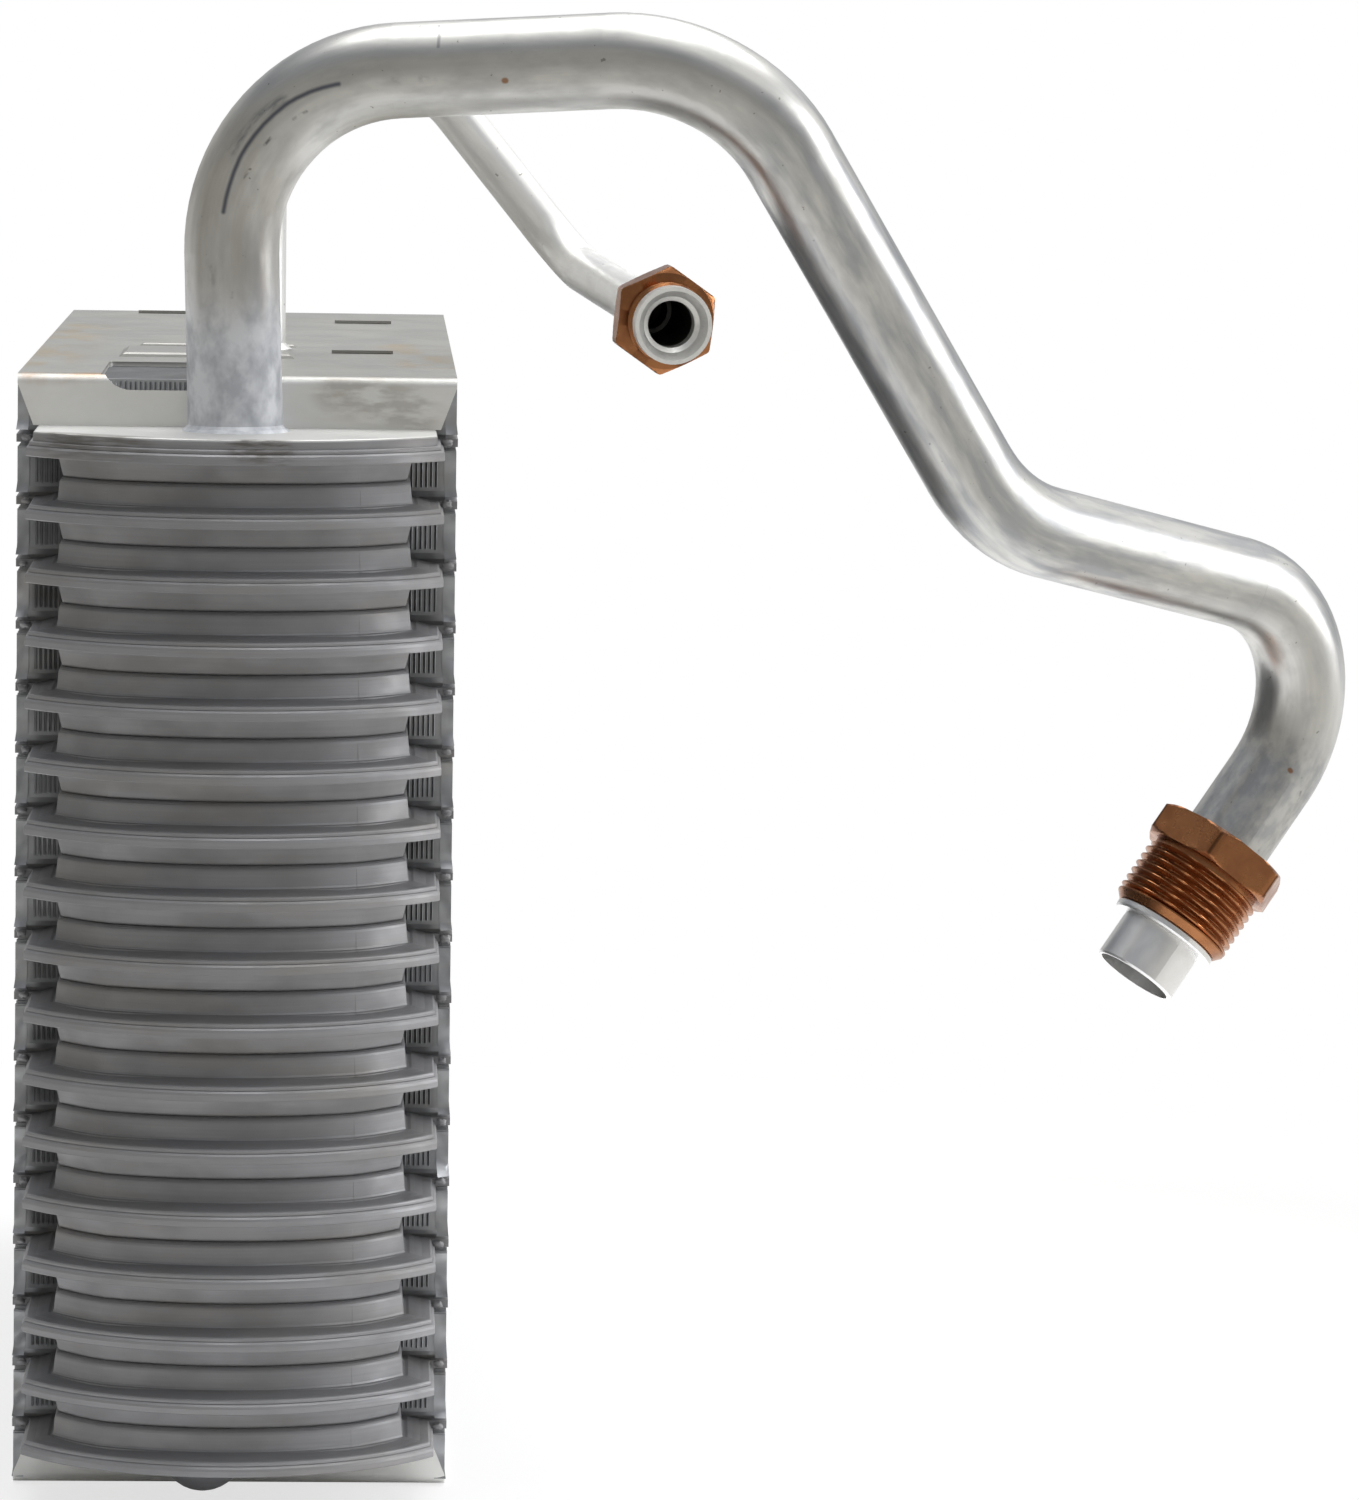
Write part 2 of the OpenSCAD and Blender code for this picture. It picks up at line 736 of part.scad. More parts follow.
// Braze fillet where a pipe stands on a plate; its top ends inside the pipe's wall
module foot_fillet(x, y, z, d) {
    inside = 0.4;
    translate([x, y, z]) rotate_extrude()
        polygon([
            [d / 2 - inside, 0],
            [d / 2 + fillet_h, 0],
            [d / 2 + fillet_h * 0.4, fillet_h * 0.45],
            [d / 2 - inside, fillet_h + inside]
        ]);
}

suction_foot = [suction_x, front_y - suction_front, top_cover_z];
suction_route = chain(suction_foot, [
    [-riser_lean, 0, riser_l],
    leg(run_l, run_heading, run_slope),
    leg(drop_l, drop_heading, drop_slope),
    leg(outlet_l, outlet_heading, outlet_slope),
    leg(mouth_l, mouth_heading, mouth_slope)
]);
suction_formers = [0, former_r, former_r, former_r, tight_former_r];
suction_end = suction_route[5];
suction_axis = into(suction_route, 5);

module suction_pipe() {
    spigot_end = spigot_l + suction_bead_w;
    edge = 0.4;
    color("#b9b9b6") difference() {
        union() {
            pipe_form(
                drawn_out(suction_route, pipe_depth, -spigot_end), suction_formers, suction_d / 2, skin
            );
            foot_fillet(suction_foot[0], suction_foot[1], suction_foot[2], suction_d);
            along(suction_end, suction_axis) rotate_extrude() polygon([
                [0, -spigot_end - lap],
                [suction_d / 2 - lap, -spigot_end - lap],
                [suction_d / 2 - lap, -spigot_end],
                [suction_bead_d / 2 - edge, -spigot_end],
                [suction_bead_d / 2, -spigot_end + edge],
                [suction_bead_d / 2, -spigot_l - edge],
                [suction_bead_d / 2 - edge, -spigot_l],
                [spigot_d / 2, -spigot_l],
                [spigot_d / 2, -edge],
                [spigot_d / 2 - edge, 0],
                [0, 0]
            ]);
        }
        pipe_form(
            drawn_out(suction_route, pipe_depth + 1, 1), suction_formers, suction_d / 2 - suction_wall, -skin
        );
    }
}

// A nut that turns on its pipe: hexagon behind, threaded part in front, with its front face at z = 0
module pipe_nut(flats, hex_l, thread_d, thread_l, bore_d) {
    length = hex_l + thread_l;
    corner_r = flats / 2 / cos(30);
    bevel = corner_r - flats / 2;
    chamfer = 1.2;
    difference() {
        union() {
            intersection() {
                translate([0, 0, -length]) cylinder(h = hex_l, r = corner_r, $fn = 6);
                translate([0, 0, -length]) rotate_extrude() polygon([
                    [0, 0],
                    [corner_r - bevel, 0],
                    [corner_r, bevel * 0.6],
                    [corner_r, hex_l - bevel * 0.6],
                    [corner_r - bevel, hex_l],
                    [0, hex_l]
                ]);
            }
            translate([0, 0, -thread_l - lap]) rotate_extrude() polygon([
                [0, 0],
                [thread_d / 2, 0],
                [thread_d / 2, thread_l + lap - chamfer],
                [thread_d / 2 - chamfer, thread_l + lap],
                [0, thread_l + lap]
            ]);
        }
        translate([0, 0, -length - 1]) cylinder(h = length + 2, d = bore_d);
    }
}

module suction_nut() {
    seat = suction_end - (spigot_l + suction_bead_w) * suction_axis;
    color("#6b4630") along(seat, suction_axis, suction_hex_turn)
        pipe_nut(suction_flats, suction_hex_l, suction_thread_d, suction_thread_l, suction_d + 2 * nut_gap);
}

liquid_foot = [liquid_x, front_y + liquid_back, stack_h];
liquid_route = chain(liquid_foot, [
    [0, 0, stem_l],
    [across_l, 0, 0],
    leg(slant_l, 0, slant_slope),
    leg(feed_l, feed_heading, feed_slope)
]);
liquid_formers = [0, liquid_former_r, liquid_former_r, liquid_former_r];
liquid_end = liquid_route[4];
liquid_axis = into(liquid_route, 4);

module liquid_pipe() {
    foot_depth = end_t + top_fin_h + pipe_depth;
    taper_l = 12;
    rim = 0.8;
    seat_depth = 2.2;
    seat_r = socket_d / 2 + 0.3;
    bore_r = liquid_d / 2 - liquid_wall;
    color("#b4b4b1") difference() {
        union() {
            pipe_form(
                drawn_out(liquid_route, foot_depth, -socket_l), liquid_formers, liquid_d / 2, skin
            );
            foot_fillet(liquid_foot[0], liquid_foot[1], liquid_foot[2] + pad_h, liquid_d);
            along(liquid_end, liquid_axis) rotate_extrude() polygon([
                [0, -socket_l - taper_l],
                [liquid_d / 2 - skin, -socket_l - taper_l],
                [socket_d / 2, -socket_l],
                [socket_d / 2, -liquid_bead_w],
                [liquid_bead_d / 2, -liquid_bead_w],
                [liquid_bead_d / 2, 0],
                [0, 0]
            ]);
        }
        pipe_form(drawn_out(liquid_route, foot_depth + 1, 1), liquid_formers, bore_r, -skin);
        along(liquid_end, liquid_axis) rotate_extrude() polygon([
            [0, -socket_depth - 1],
            [mouth_r, -socket_depth],
            [mouth_r, -seat_depth - 0.8],
            [seat_r, -seat_depth],
            [liquid_bead_d / 2 - rim, 0],
            [liquid_bead_d / 2 - rim, 1],
            [0, 1]
        ]);
    }
}

module liquid_nut() {
    color("#784b32") along(liquid_end - liquid_bead_w * liquid_axis, liquid_axis, liquid_hex_turn)
        pipe_nut(liquid_flats, liquid_hex_l, liquid_thread_d, liquid_thread_l, socket_d + 2 * nut_gap);
}

top_end_plate();
bottom_end_plate();
for (i = [1:pairs]) upper_plate(i);
for (i = [1:pairs]) lower_plate(i);
for (i = [1:pairs + 1]) fin(i);
suction_pipe();
suction_nut();
liquid_pipe();
liquid_nut();
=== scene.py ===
import bpy
import json
import math
import random
import numpy as np
from mathutils import Matrix, Vector


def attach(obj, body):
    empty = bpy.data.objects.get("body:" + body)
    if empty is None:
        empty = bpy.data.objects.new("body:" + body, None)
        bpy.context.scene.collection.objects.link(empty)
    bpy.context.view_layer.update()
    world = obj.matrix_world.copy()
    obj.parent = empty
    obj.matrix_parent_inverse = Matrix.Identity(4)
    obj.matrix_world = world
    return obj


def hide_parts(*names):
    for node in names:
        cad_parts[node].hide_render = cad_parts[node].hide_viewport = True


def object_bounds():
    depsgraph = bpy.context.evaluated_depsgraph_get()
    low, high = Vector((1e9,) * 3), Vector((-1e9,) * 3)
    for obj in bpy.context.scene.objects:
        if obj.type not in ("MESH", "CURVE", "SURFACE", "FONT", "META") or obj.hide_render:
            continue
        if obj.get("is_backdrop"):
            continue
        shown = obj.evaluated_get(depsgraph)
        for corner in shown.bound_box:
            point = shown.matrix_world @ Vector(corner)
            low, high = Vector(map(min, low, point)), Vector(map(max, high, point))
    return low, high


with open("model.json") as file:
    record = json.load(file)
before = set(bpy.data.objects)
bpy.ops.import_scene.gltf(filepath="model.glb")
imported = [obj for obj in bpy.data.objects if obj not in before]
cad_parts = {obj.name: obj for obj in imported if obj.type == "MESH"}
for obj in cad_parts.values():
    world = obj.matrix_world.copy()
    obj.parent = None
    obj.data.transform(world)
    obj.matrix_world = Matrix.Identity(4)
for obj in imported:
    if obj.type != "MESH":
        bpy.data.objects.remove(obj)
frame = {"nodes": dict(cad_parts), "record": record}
lowCorner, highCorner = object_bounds()
random.seed(7)
mm = 0.001
nodes = frame["nodes"]
print("frame loaded")


# Colours are written as sRGB hex and turned to linear values here
def linearColour(hexText):
    values = [int(hexText[i:i + 2], 16) / 255 for i in (1, 3, 5)]
    linear = [v / 12.92 if v <= 0.04045 else ((v + 0.055) / 1.055) ** 2.4 for v in values]
    return (*linear, 1)


# Adds one shader node. Settings are its attributes; an input is a value, or the output of another node
def addNode(tree, kind, settings=None, inputs=None):
    node = tree.nodes.new("ShaderNode" + kind)
    for name, value in (settings or {}).items():
        setattr(node, name, value)
    for socket, value in (inputs or {}).items():
        if isinstance(value, bpy.types.NodeSocket):
            tree.links.new(value, node.inputs[socket])
        else:
            node.inputs[socket].default_value = value
    return node


# The core, in millimetres
core = {
    "length": 263.0,
    "height": 228.6,
    "pairs": 17,
    "finHeight": 9.5,
    "topFinHeight": 10.7,
    "pairThickness": 3.2,
    "endThickness": 1.0,
}
frontY = -core["length"] / 2
pitch = core["finHeight"] + core["pairThickness"]


def finBottom(i):
    return core["height"] - core["endThickness"] - core["topFinHeight"] - (i - 1) * pitch


def finHeight(i):
    return core["topFinHeight"] if i == 1 else core["finHeight"]


def seamHeight(i):
    return finBottom(i) - core["pairThickness"] / 2


# Pipe routes in millimetres: the start and the first leg as vectors, then each leg's length with its
# heading and slope in degrees, and the radius of the bend before it
pipes = {
    "suction_pipe": {
        "start": (-0.2, frontY - 11, 218.1),
        "firstLeg": (-2, 0, 70.6),
        "legs": [(102.5, -12.4, 3.5), (117, 33.3, -53.7), (110.2, 34.6, -13.1), (94.4, 200.5, -52.8)],
        "bends": [36, 36, 36, 28],
    },
    "liquid_pipe": {
        "start": (3.8, frontY + 84, 228.6),
        "firstLeg": (0, 0, 57.8),
        "legs": [(36, 0, 0), (49, 0, -51), (125, -82.7, -3)],
        "bends": [14, 14, 14],
    },
}


def legVector(length, heading, slope):
    heading, slope = math.radians(heading), math.radians(slope)
    level = length * math.cos(slope)
    return np.array([level * math.cos(heading), level * math.sin(heading), length * math.sin(slope)])


def unit(v):
    return v / np.linalg.norm(v)


# Points about 1 mm apart along a pipe's middle line, each with a frame that doesn't twist
def middleLine(pipe):
    legs = [np.array(pipe["firstLeg"], float)] + [legVector(*leg) for leg in pipe["legs"]]
    corner = np.array(pipe["start"], float)
    points = [corner]
    for before, after, radius in zip(legs, legs[1:], pipe["bends"]):
        corner = corner + before
        a, b = unit(before), unit(after)
        turn = math.acos(float(a @ b))
        inward = unit(b - a * (a @ b))
        last = points[-1]
        start = corner - a * radius * math.tan(turn / 2)
        centre = start + inward * radius
        steps = int(np.linalg.norm(start - last)) + 1
        points += [last + (start - last) * j / steps for j in range(1, steps)]
        steps = max(8, int(turn * radius))
        for j in range(steps + 1):
            angle = turn * j / steps
            points.append(centre - inward * radius * math.cos(angle) + a * radius * math.sin(angle))
    last = points[-1]
    end = corner + legs[-1]
    steps = int(np.linalg.norm(end - last)) + 1
    points += [last + (end - last) * j / steps for j in range(1, steps + 1)]
    points = np.array(points)
    tangents = np.gradient(points, axis=0)
    tangents /= np.linalg.norm(tangents, axis=1)[:, None]
    side = unit(np.cross(tangents[0], [0.0, 1.0, 0.0]))
    sides = []
    for t in tangents:
        side = unit(side - t * (side @ t))
        sides.append(side)
    sides = np.array(sides)
    lengths = np.concatenate([[0], np.cumsum(np.linalg.norm(np.diff(points, axis=0), axis=1))])
    return points, tangents, sides, np.cross(tangents, sides), lengths


# Gives a pipe's vertices their place unrolled from the bends: two across the pipe and one along it.
# Returns the end of the middle line, its direction there and its length
def unrollPipe(name, batch=2000):
    points, tangents, sides, ups, lengths = middleLine(pipes[name])
    mesh = nodes[name].data
    co = np.zeros(len(mesh.vertices) * 3, np.float32)
    mesh.vertices.foreach_get("co", co)
    co = co.reshape(-1, 3).astype(float) / mm
    values = np.zeros_like(co)
    for start in range(0, len(co), batch):
        part = co[start:start + batch]
        distance = ((part[:, None, :] - points[None, :, :]) ** 2).sum(2)
        k = distance.argmin(1)
        offset = part - points[k]
        values[start:start + batch, 0] = (offset * sides[k]).sum(1)
        values[start:start + batch, 1] = (offset * ups[k]).sum(1)
        values[start:start + batch, 2] = lengths[k] + (offset * tangents[k]).sum(1)
    attribute = mesh.attributes.new("pipePlace", "FLOAT_VECTOR", "POINT")
    attribute.data.foreach_set("vector", (values * mm).astype(np.float32).ravel())
    return points[-1], unit(legVector(*pipes[name]["legs"][-1])), float(lengths[-1])


suctionEnd, suctionAxis, suctionLength = unrollPipe("suction_pipe")
liquidEnd, liquidAxis, liquidLength = unrollPipe("liquid_pipe")
print("pipes unrolled")

smoothFade = {"interpolation_type": "SMOOTHSTEP"}


# A mask that is 1 within a radius of the line from a to b, in millimetres, and fades outside it
def lineMask(tree, place, a, b, radius, fade):
    a, b = np.array(a, float) * mm, np.array(b, float) * mm
    along = b - a
    share = along / float(along @ along)
    fromA = addNode(tree, "VectorMath", {"operation": "SUBTRACT"}, {0: place, 1: tuple(a)}).outputs[0]
    dot = addNode(tree, "VectorMath", {"operation": "DOT_PRODUCT"}, {0: fromA, 1: tuple(share)})
    part = addNode(tree, "Clamp", None, {0: dot.outputs["Value"]}).outputs[0]
    foot = addNode(tree, "VectorMath", {"operation": "SCALE"}, {0: tuple(along), "Scale": part}).outputs[0]
    offset = addNode(tree, "VectorMath", {"operation": "SUBTRACT"}, {0: fromA, 1: foot}).outputs[0]
    distance = addNode(tree, "VectorMath", {"operation": "LENGTH"}, {0: offset}).outputs["Value"]
    levels = {1: radius * mm, 2: (radius + fade) * mm, 3: 1.0, 4: 0.0}
    return addNode(tree, "MapRange", smoothFade, {0: distance, **levels}).outputs[0]


# Noise stretched to 0 at its low level and 1 at its high one. Its size is in millimetres on each axis
def grain(tree, place, size, low, high, detail=3.0):
    perMetre = tuple(1 / (s * mm) for s in size)
    stretched = addNode(tree, "VectorMath", {"operation": "MULTIPLY"}, {0: place, 1: perMetre}).outputs[0]
    noise = addNode(tree, "TexNoise", None,
                    {"Vector": stretched, "Scale": 1.0, "Detail": detail, "Roughness": 0.55}).outputs[0]
    return addNode(tree, "MapRange", None, {0: noise, 1: low, 2: high, 3: 0.0, 4: 1.0}).outputs[0]


# Lays a colour over another by a mask
def tint(tree, base, hexText, mask, strength=1.0):
    under = linearColour(base) if isinstance(base, str) else base
    share = addNode(tree, "Math", {"operation": "MULTIPLY"}, {0: mask, 1: strength}).outputs[0]
    mix = addNode(tree, "Mix", {"data_type": "RGBA"}, {0: share, 6: under, 7: linearColour(hexText)})
    return mix.outputs[2]


def startMaterial(name, metallic):
    material = bpy.data.materials.new(name)
    material.use_nodes = True
    tree = material.node_tree
    shader = tree.nodes["Principled BSDF"]
    shader.inputs["Metallic"].default_value = metallic
    return material, tree, shader


# The surface's normal, turned on a tank's leaning walls so that their two rounds meet without an edge at x.
# The rims stand farther out than outerY and keep their own normal
def easedNormal(tree, place, shoulder):
    x, reach, outerY = (shoulder[key] * mm for key in ("x", "reach", "outerY"))
    normal = addNode(tree, "NewGeometry").outputs["Normal"]
    parts = addNode(tree, "SeparateXYZ", None, {0: place}).outputs
    away = addNode(tree, "Math", {"operation": "ABSOLUTE"}, {0: parts["X"]}).outputs[0]
    depth = addNode(tree, "Math", {"operation": "ABSOLUTE"}, {0: parts["Y"]}).outputs[0]
    before = addNode(tree, "MapRange", None, {0: away, 1: x - reach, 2: x}).outputs[0]
    after = addNode(tree, "MapRange", None, {0: away, 1: x, 2: x + reach}).outputs[0]
    beyond = addNode(tree, "Math", {"operation": "GREATER_THAN"}, {0: away, 1: x}).outputs[0]
    total = addNode(tree, "Math", {"operation": "ADD"}, {0: before, 1: after}).outputs[0]
    turn = addNode(tree, "Math", {"operation": "MULTIPLY_ADD"}, {0: beyond, 1: -2.0, 2: total}).outputs[0]
    handX = addNode(tree, "Math", {"operation": "SIGN"}, {0: parts["X"]}).outputs[0]
    handY = addNode(tree, "Math", {"operation": "SIGN"}, {0: parts["Y"]}).outputs[0]
    walls = addNode(tree, "MapRange", None, {0: depth, 1: outerY, 2: outerY + mm, 3: 1.0, 4: 0.0}).outputs[0]
    for factor in (handX, handY, walls, -math.radians(shoulder["degrees"])):
        turn = addNode(tree, "Math", {"operation": "MULTIPLY"}, {0: turn, 1: factor}).outputs[0]
    across = addNode(tree, "VectorMath", {"operation": "CROSS_PRODUCT"}, {0: (0, 0, 1), 1: normal}).outputs[0]
    turned = addNode(tree, "VectorMath", {"operation": "SCALE"}, {0: across, "Scale": turn}).outputs[0]
    eased = addNode(tree, "VectorMath", {"operation": "ADD"}, {0: normal, 1: turned}).outputs[0]
    return addNode(tree, "VectorMath", {"operation": "NORMALIZE"}, {0: eased}).outputs[0]


# Drawn and brazed sheet: dull grey, with drawn lines along it and a film of oxide and flux in patches.
# Sizes are in millimetres, and metallic and roughness run from bare metal to the patches
sheetLook = {
    "base": "#9c9c9f",
    "oxide": "#858586",
    "warm": "#8e887e",
    "metallic": (0.62, 0.4),
    "roughness": (0.46, 0.6),
    "lineSize": (34, 34, 0.5),
    "lineStrength": 0.35,
    "patchSize": (14, 14, 9),
    "patchStrength": 0.55,
    "warmSize": (30, 30, 6),
    "warmStrength": 0.4,
    "bump": 0.08,
    "bumpDepth": 0.2,
    "bumpShare": 0.6,  # the bump's grain as a share of lineSize
}


def sheetMaterial(name, look, stainsAndShades=()):
    material, tree, shader = startMaterial(name, 1.0)
    place = addNode(tree, "TexCoord").outputs["Object"]
    lines = grain(tree, place, look["lineSize"], low=0.3, high=0.7)
    patches = grain(tree, place, look["patchSize"], low=0.4, high=0.7)
    warmth = grain(tree, place, look["warmSize"], low=0.5, high=0.75)
    colour = tint(tree, look["base"], look["oxide"], lines, look["lineStrength"])
    colour = tint(tree, colour, look["oxide"], patches, look["patchStrength"])
    colour = tint(tree, colour, look["warm"], warmth, look["warmStrength"])
    # A colour laid over the sheet above a given height; on the end plates it is painted shade on the top face
    if "topToneAndShade" in look:
        topTone = look["topToneAndShade"]
        height = addNode(tree, "SeparateXYZ", None, {0: place}).outputs["Z"]
        levels = {1: topTone["low"] * mm, 2: topTone["high"] * mm}
        mask = addNode(tree, "MapRange", None, {0: height, **levels}).outputs[0]
        colour = tint(tree, colour, topTone["colour"], mask, topTone["strength"])
    # Each is a stain or a band of painted shade: a colour laid along a line and broken up by grain
    for stainOrShade in stainsAndShades:
        spread = grain(tree, place, stainOrShade["grain"], low=0.38, high=0.6)
        mask = lineMask(tree, place, *stainOrShade["line"], stainOrShade["radius"], stainOrShade["fade"])
        both = addNode(tree, "Math", {"operation": "MULTIPLY"}, {0: spread, 1: mask}).outputs[0]
        colour = tint(tree, colour, stainOrShade["colour"], both, stainOrShade["strength"])
    tree.links.new(colour, shader.inputs["Base Color"])
    for key, socket in (("roughness", "Roughness"), ("metallic", "Metallic")):
        bare, covered = look[key]
        level = addNode(tree, "MapRange", None, {0: patches, 3: bare, 4: covered}).outputs[0]
        tree.links.new(level, shader.inputs[socket])
    fine = grain(tree, place, [s * look["bumpShare"] for s in look["lineSize"]], low=0.2, high=0.8)
    bump = addNode(tree, "Bump", None,
                   {"Strength": look["bump"], "Distance": look["bumpDepth"] * mm, "Height": fine})
    if "shoulder" in look:
        tree.links.new(easedNormal(tree, place, look["shoulder"]), bump.inputs["Normal"])
    tree.links.new(bump.outputs[0], shader.inputs["Normal"])
    return material


# Aluminium tube plates, drawn and furnace brazed: dull grey, paler on top of the first one
tubePlateLook = dict(
    sheetLook,
    topToneAndShade={"colour": "#dededb", "strength": 0.85, "low": 217.6, "high": 218.0},
    shoulder={"x": 25.0, "reach": 9.0, "degrees": 6.8, "outerY": 162.5},
)
brazedAluminiumCups = sheetMaterial("brazedAluminiumCups", tubePlateLook, [
    {"line": [(-36, -158, 218), (-20, -166, 218)], "radius": 2, "fade": 5, "grain": (9, 9, 0.8),
     "colour": "#5d574f", "strength": 0.6},
    {"line": [(2, -171, 217), (9, -171, 216)], "radius": 1.5, "fade": 3, "grain": (5, 5, 0.9),
     "colour": "#57524b", "strength": 0.7},
])

# Aluminium end plates, rolled and folded: pale and satin, with painted shade that greys the top face,
# and brown flux stains near the bend and the edges
endPlateLook = dict(
    sheetLook,
    base="#f4f4f1",
    oxide="#e2e2df",
    warm="#dfd8ca",
    lineSize=(30, 3, 30),
    metallic=(0.8, 0.62),
    roughness=(0.4, 0.54),
    # Painted shade: the top face greyed by colour
    topToneAndShade={"colour": "#7f7e79", "strength": 0.8, "low": 227.6, "high": 228.5},
)
foldedAluminiumSheet = sheetMaterial("foldedAluminiumSheet", endPlateLook, [
    {"line": [(-42, -131, 228), (-28, -130, 228)], "radius": 0.8, "fade": 2.5, "grain": (5, 5, 5),
     "colour": "#b58a55", "strength": 0.55},
    {"line": [(-41, -110, 228), (-38, 60, 228)], "radius": 2, "fade": 8, "grain": (7, 24, 5),
     "colour": "#a08a62", "strength": 0.45},
    {"line": [(34, -10, 228), (40, -95, 228)], "radius": 2, "fade": 8, "grain": (7, 24, 5),
     "colour": "#a08a62", "strength": 0.5},
    {"line": [(20, -132, 226), (36, -132, 222)], "radius": 2, "fade": 5, "grain": (6, 6, 2),
     "colour": "#8f8371", "strength": 0.38},
])

# Aluminium fin foil, corrugated and furnace brazed: shinier than the tube plates, with painted shade beside
# the tanks
finLook = dict(
    sheetLook,
    base="#b7b9bc",
    oxide="#97999d",
    warm="#a09a91",
    lineSize=(3, 3, 20),
    metallic=(0.75, 0.55),
    roughness=(0.34, 0.48),
)
corrugatedAluminiumFoil = sheetMaterial("corrugatedAluminiumFoil", finLook, [
    # Painted shade in the fin windows beside the tanks, darker on the left, where the cups keep the light off
    {"line": [(-38.5, -132, 4), (-38.5, -132, 226)], "radius": 2.4, "fade": 1.6, "grain": (30, 30, 26),
     "colour": "#3f4043", "strength": 0.75},
    {"line": [(38.5, -132, 4), (38.5, -132, 226)], "radius": 2.4, "fade": 1.6, "grain": (30, 30, 22),
     "colour": "#5b5a58", "strength": 0.5},
])

# Drawn aluminium tube: satin, with draw lines along it, scuffs, a soft cloud and a few dark specks.
# Lengths are in millimetres, and a share is a grain's width as a part of the radius
tubeLook = {
    "radius": 9.5,
    "base": "#d1d0cc",
    "scuff": "#b3b3b1",
    "dark": "#7d7872",
    "metallic": 1.0,
    "roughness": (0.31, 0.44),
    "drawnShare": 0.12,
    "drawnLength": 40,
    "drawnStrength": 0.35,
    "scuffShare": 0.4,
    "scuffLength": 9,
    "scuffStrength": 0.7,
    "cloudStrength": 0.4,
    "speckSize": 1.6,
    "speckStrength": 0.7,
    "bump": 0.08,
    "bumpDepth": 0.15,
}


# The lines of marks, of painted light and shade, and of the coat are in unrolled millimetres: two across the
# tube, one along it
def tubeMaterial(name, look, marksAndShading=(), coat=None):
    material, tree, shader = startMaterial(name, look["metallic"])
    unrolled = addNode(tree, "Attribute", {"attribute_name": "pipePlace"}).outputs["Vector"]
    place = addNode(tree, "TexCoord").outputs["Object"]
    radius = look["radius"]
    drawnWidth, scuffWidth = radius * look["drawnShare"], radius * look["scuffShare"]
    drawn = grain(tree, unrolled, (drawnWidth, drawnWidth, look["drawnLength"]), low=0.3, high=0.7)
    scuffs = grain(tree, unrolled, (scuffWidth, scuffWidth, look["scuffLength"]), low=0.46, high=0.7)
    cloud = grain(tree, unrolled, (radius, radius, radius * 2), low=0.4, high=0.65)
    specks = grain(tree, place, [look["speckSize"]] * 3, low=0.72, high=0.76, detail=2.0)
    colour = tint(tree, look["base"], look["scuff"], drawn, look["drawnStrength"])
    colour = tint(tree, colour, look["scuff"], scuffs, look["scuffStrength"])
    colour = tint(tree, colour, look["scuff"], cloud, look["cloudStrength"])
    colour = tint(tree, colour, look["dark"], specks, look["speckStrength"])
    for markOrShading in marksAndShading:
        mask = 0.0
        for a, b in zip(markOrShading["line"], markOrShading["line"][1:]):
            part = lineMask(tree, unrolled, a, b, markOrShading["radius"], markOrShading["fade"])
            mask = addNode(tree, "Math", {"operation": "MAXIMUM"}, {0: mask, 1: part}).outputs[0]
        if "grain" in markOrShading:
            spread = grain(tree, unrolled, markOrShading["grain"], low=0.4, high=0.62)
            mask = addNode(tree, "Math", {"operation": "MULTIPLY"}, {0: spread, 1: mask}).outputs[0]
        colour = tint(tree, colour, markOrShading["colour"], mask, markOrShading["strength"])
    smooth, scuffed = look["roughness"]
    rough = addNode(tree, "MapRange", None, {0: scuffs, 3: smooth, 4: scuffed}).outputs[0]
    if coat:
        mask = lineMask(tree, unrolled, *coat["line"], coat["radius"], coat["fade"])
        blotches = grain(tree, unrolled, coat["grain"], low=0.38, high=0.62)
        blotched = tint(tree, coat["colour"], coat["blotch"], blotches)
        colour = addNode(tree, "Mix", {"data_type": "RGBA"}, {0: mask, 6: colour, 7: blotched}).outputs[2]
        dull = addNode(tree, "Math", {"operation": "MULTIPLY"}, {0: mask, 1: coat["roughness"]}).outputs[0]
        rough = addNode(tree, "Math", {"operation": "MAXIMUM"}, {0: rough, 1: dull}).outputs[0]
        metallic = addNode(tree, "MapRange", None, {0: mask, 3: look["metallic"], 4: coat["metallic"]})
        tree.links.new(metallic.outputs[0], shader.inputs["Metallic"])
    tree.links.new(colour, shader.inputs["Base Color"])
    tree.links.new(rough, shader.inputs["Roughness"])
    bump = addNode(tree, "Bump", None,
                   {"Strength": look["bump"], "Distance": look["bumpDepth"] * mm, "Height": scuffs})
    tree.links.new(bump.outputs[0], shader.inputs["Normal"])
    return material


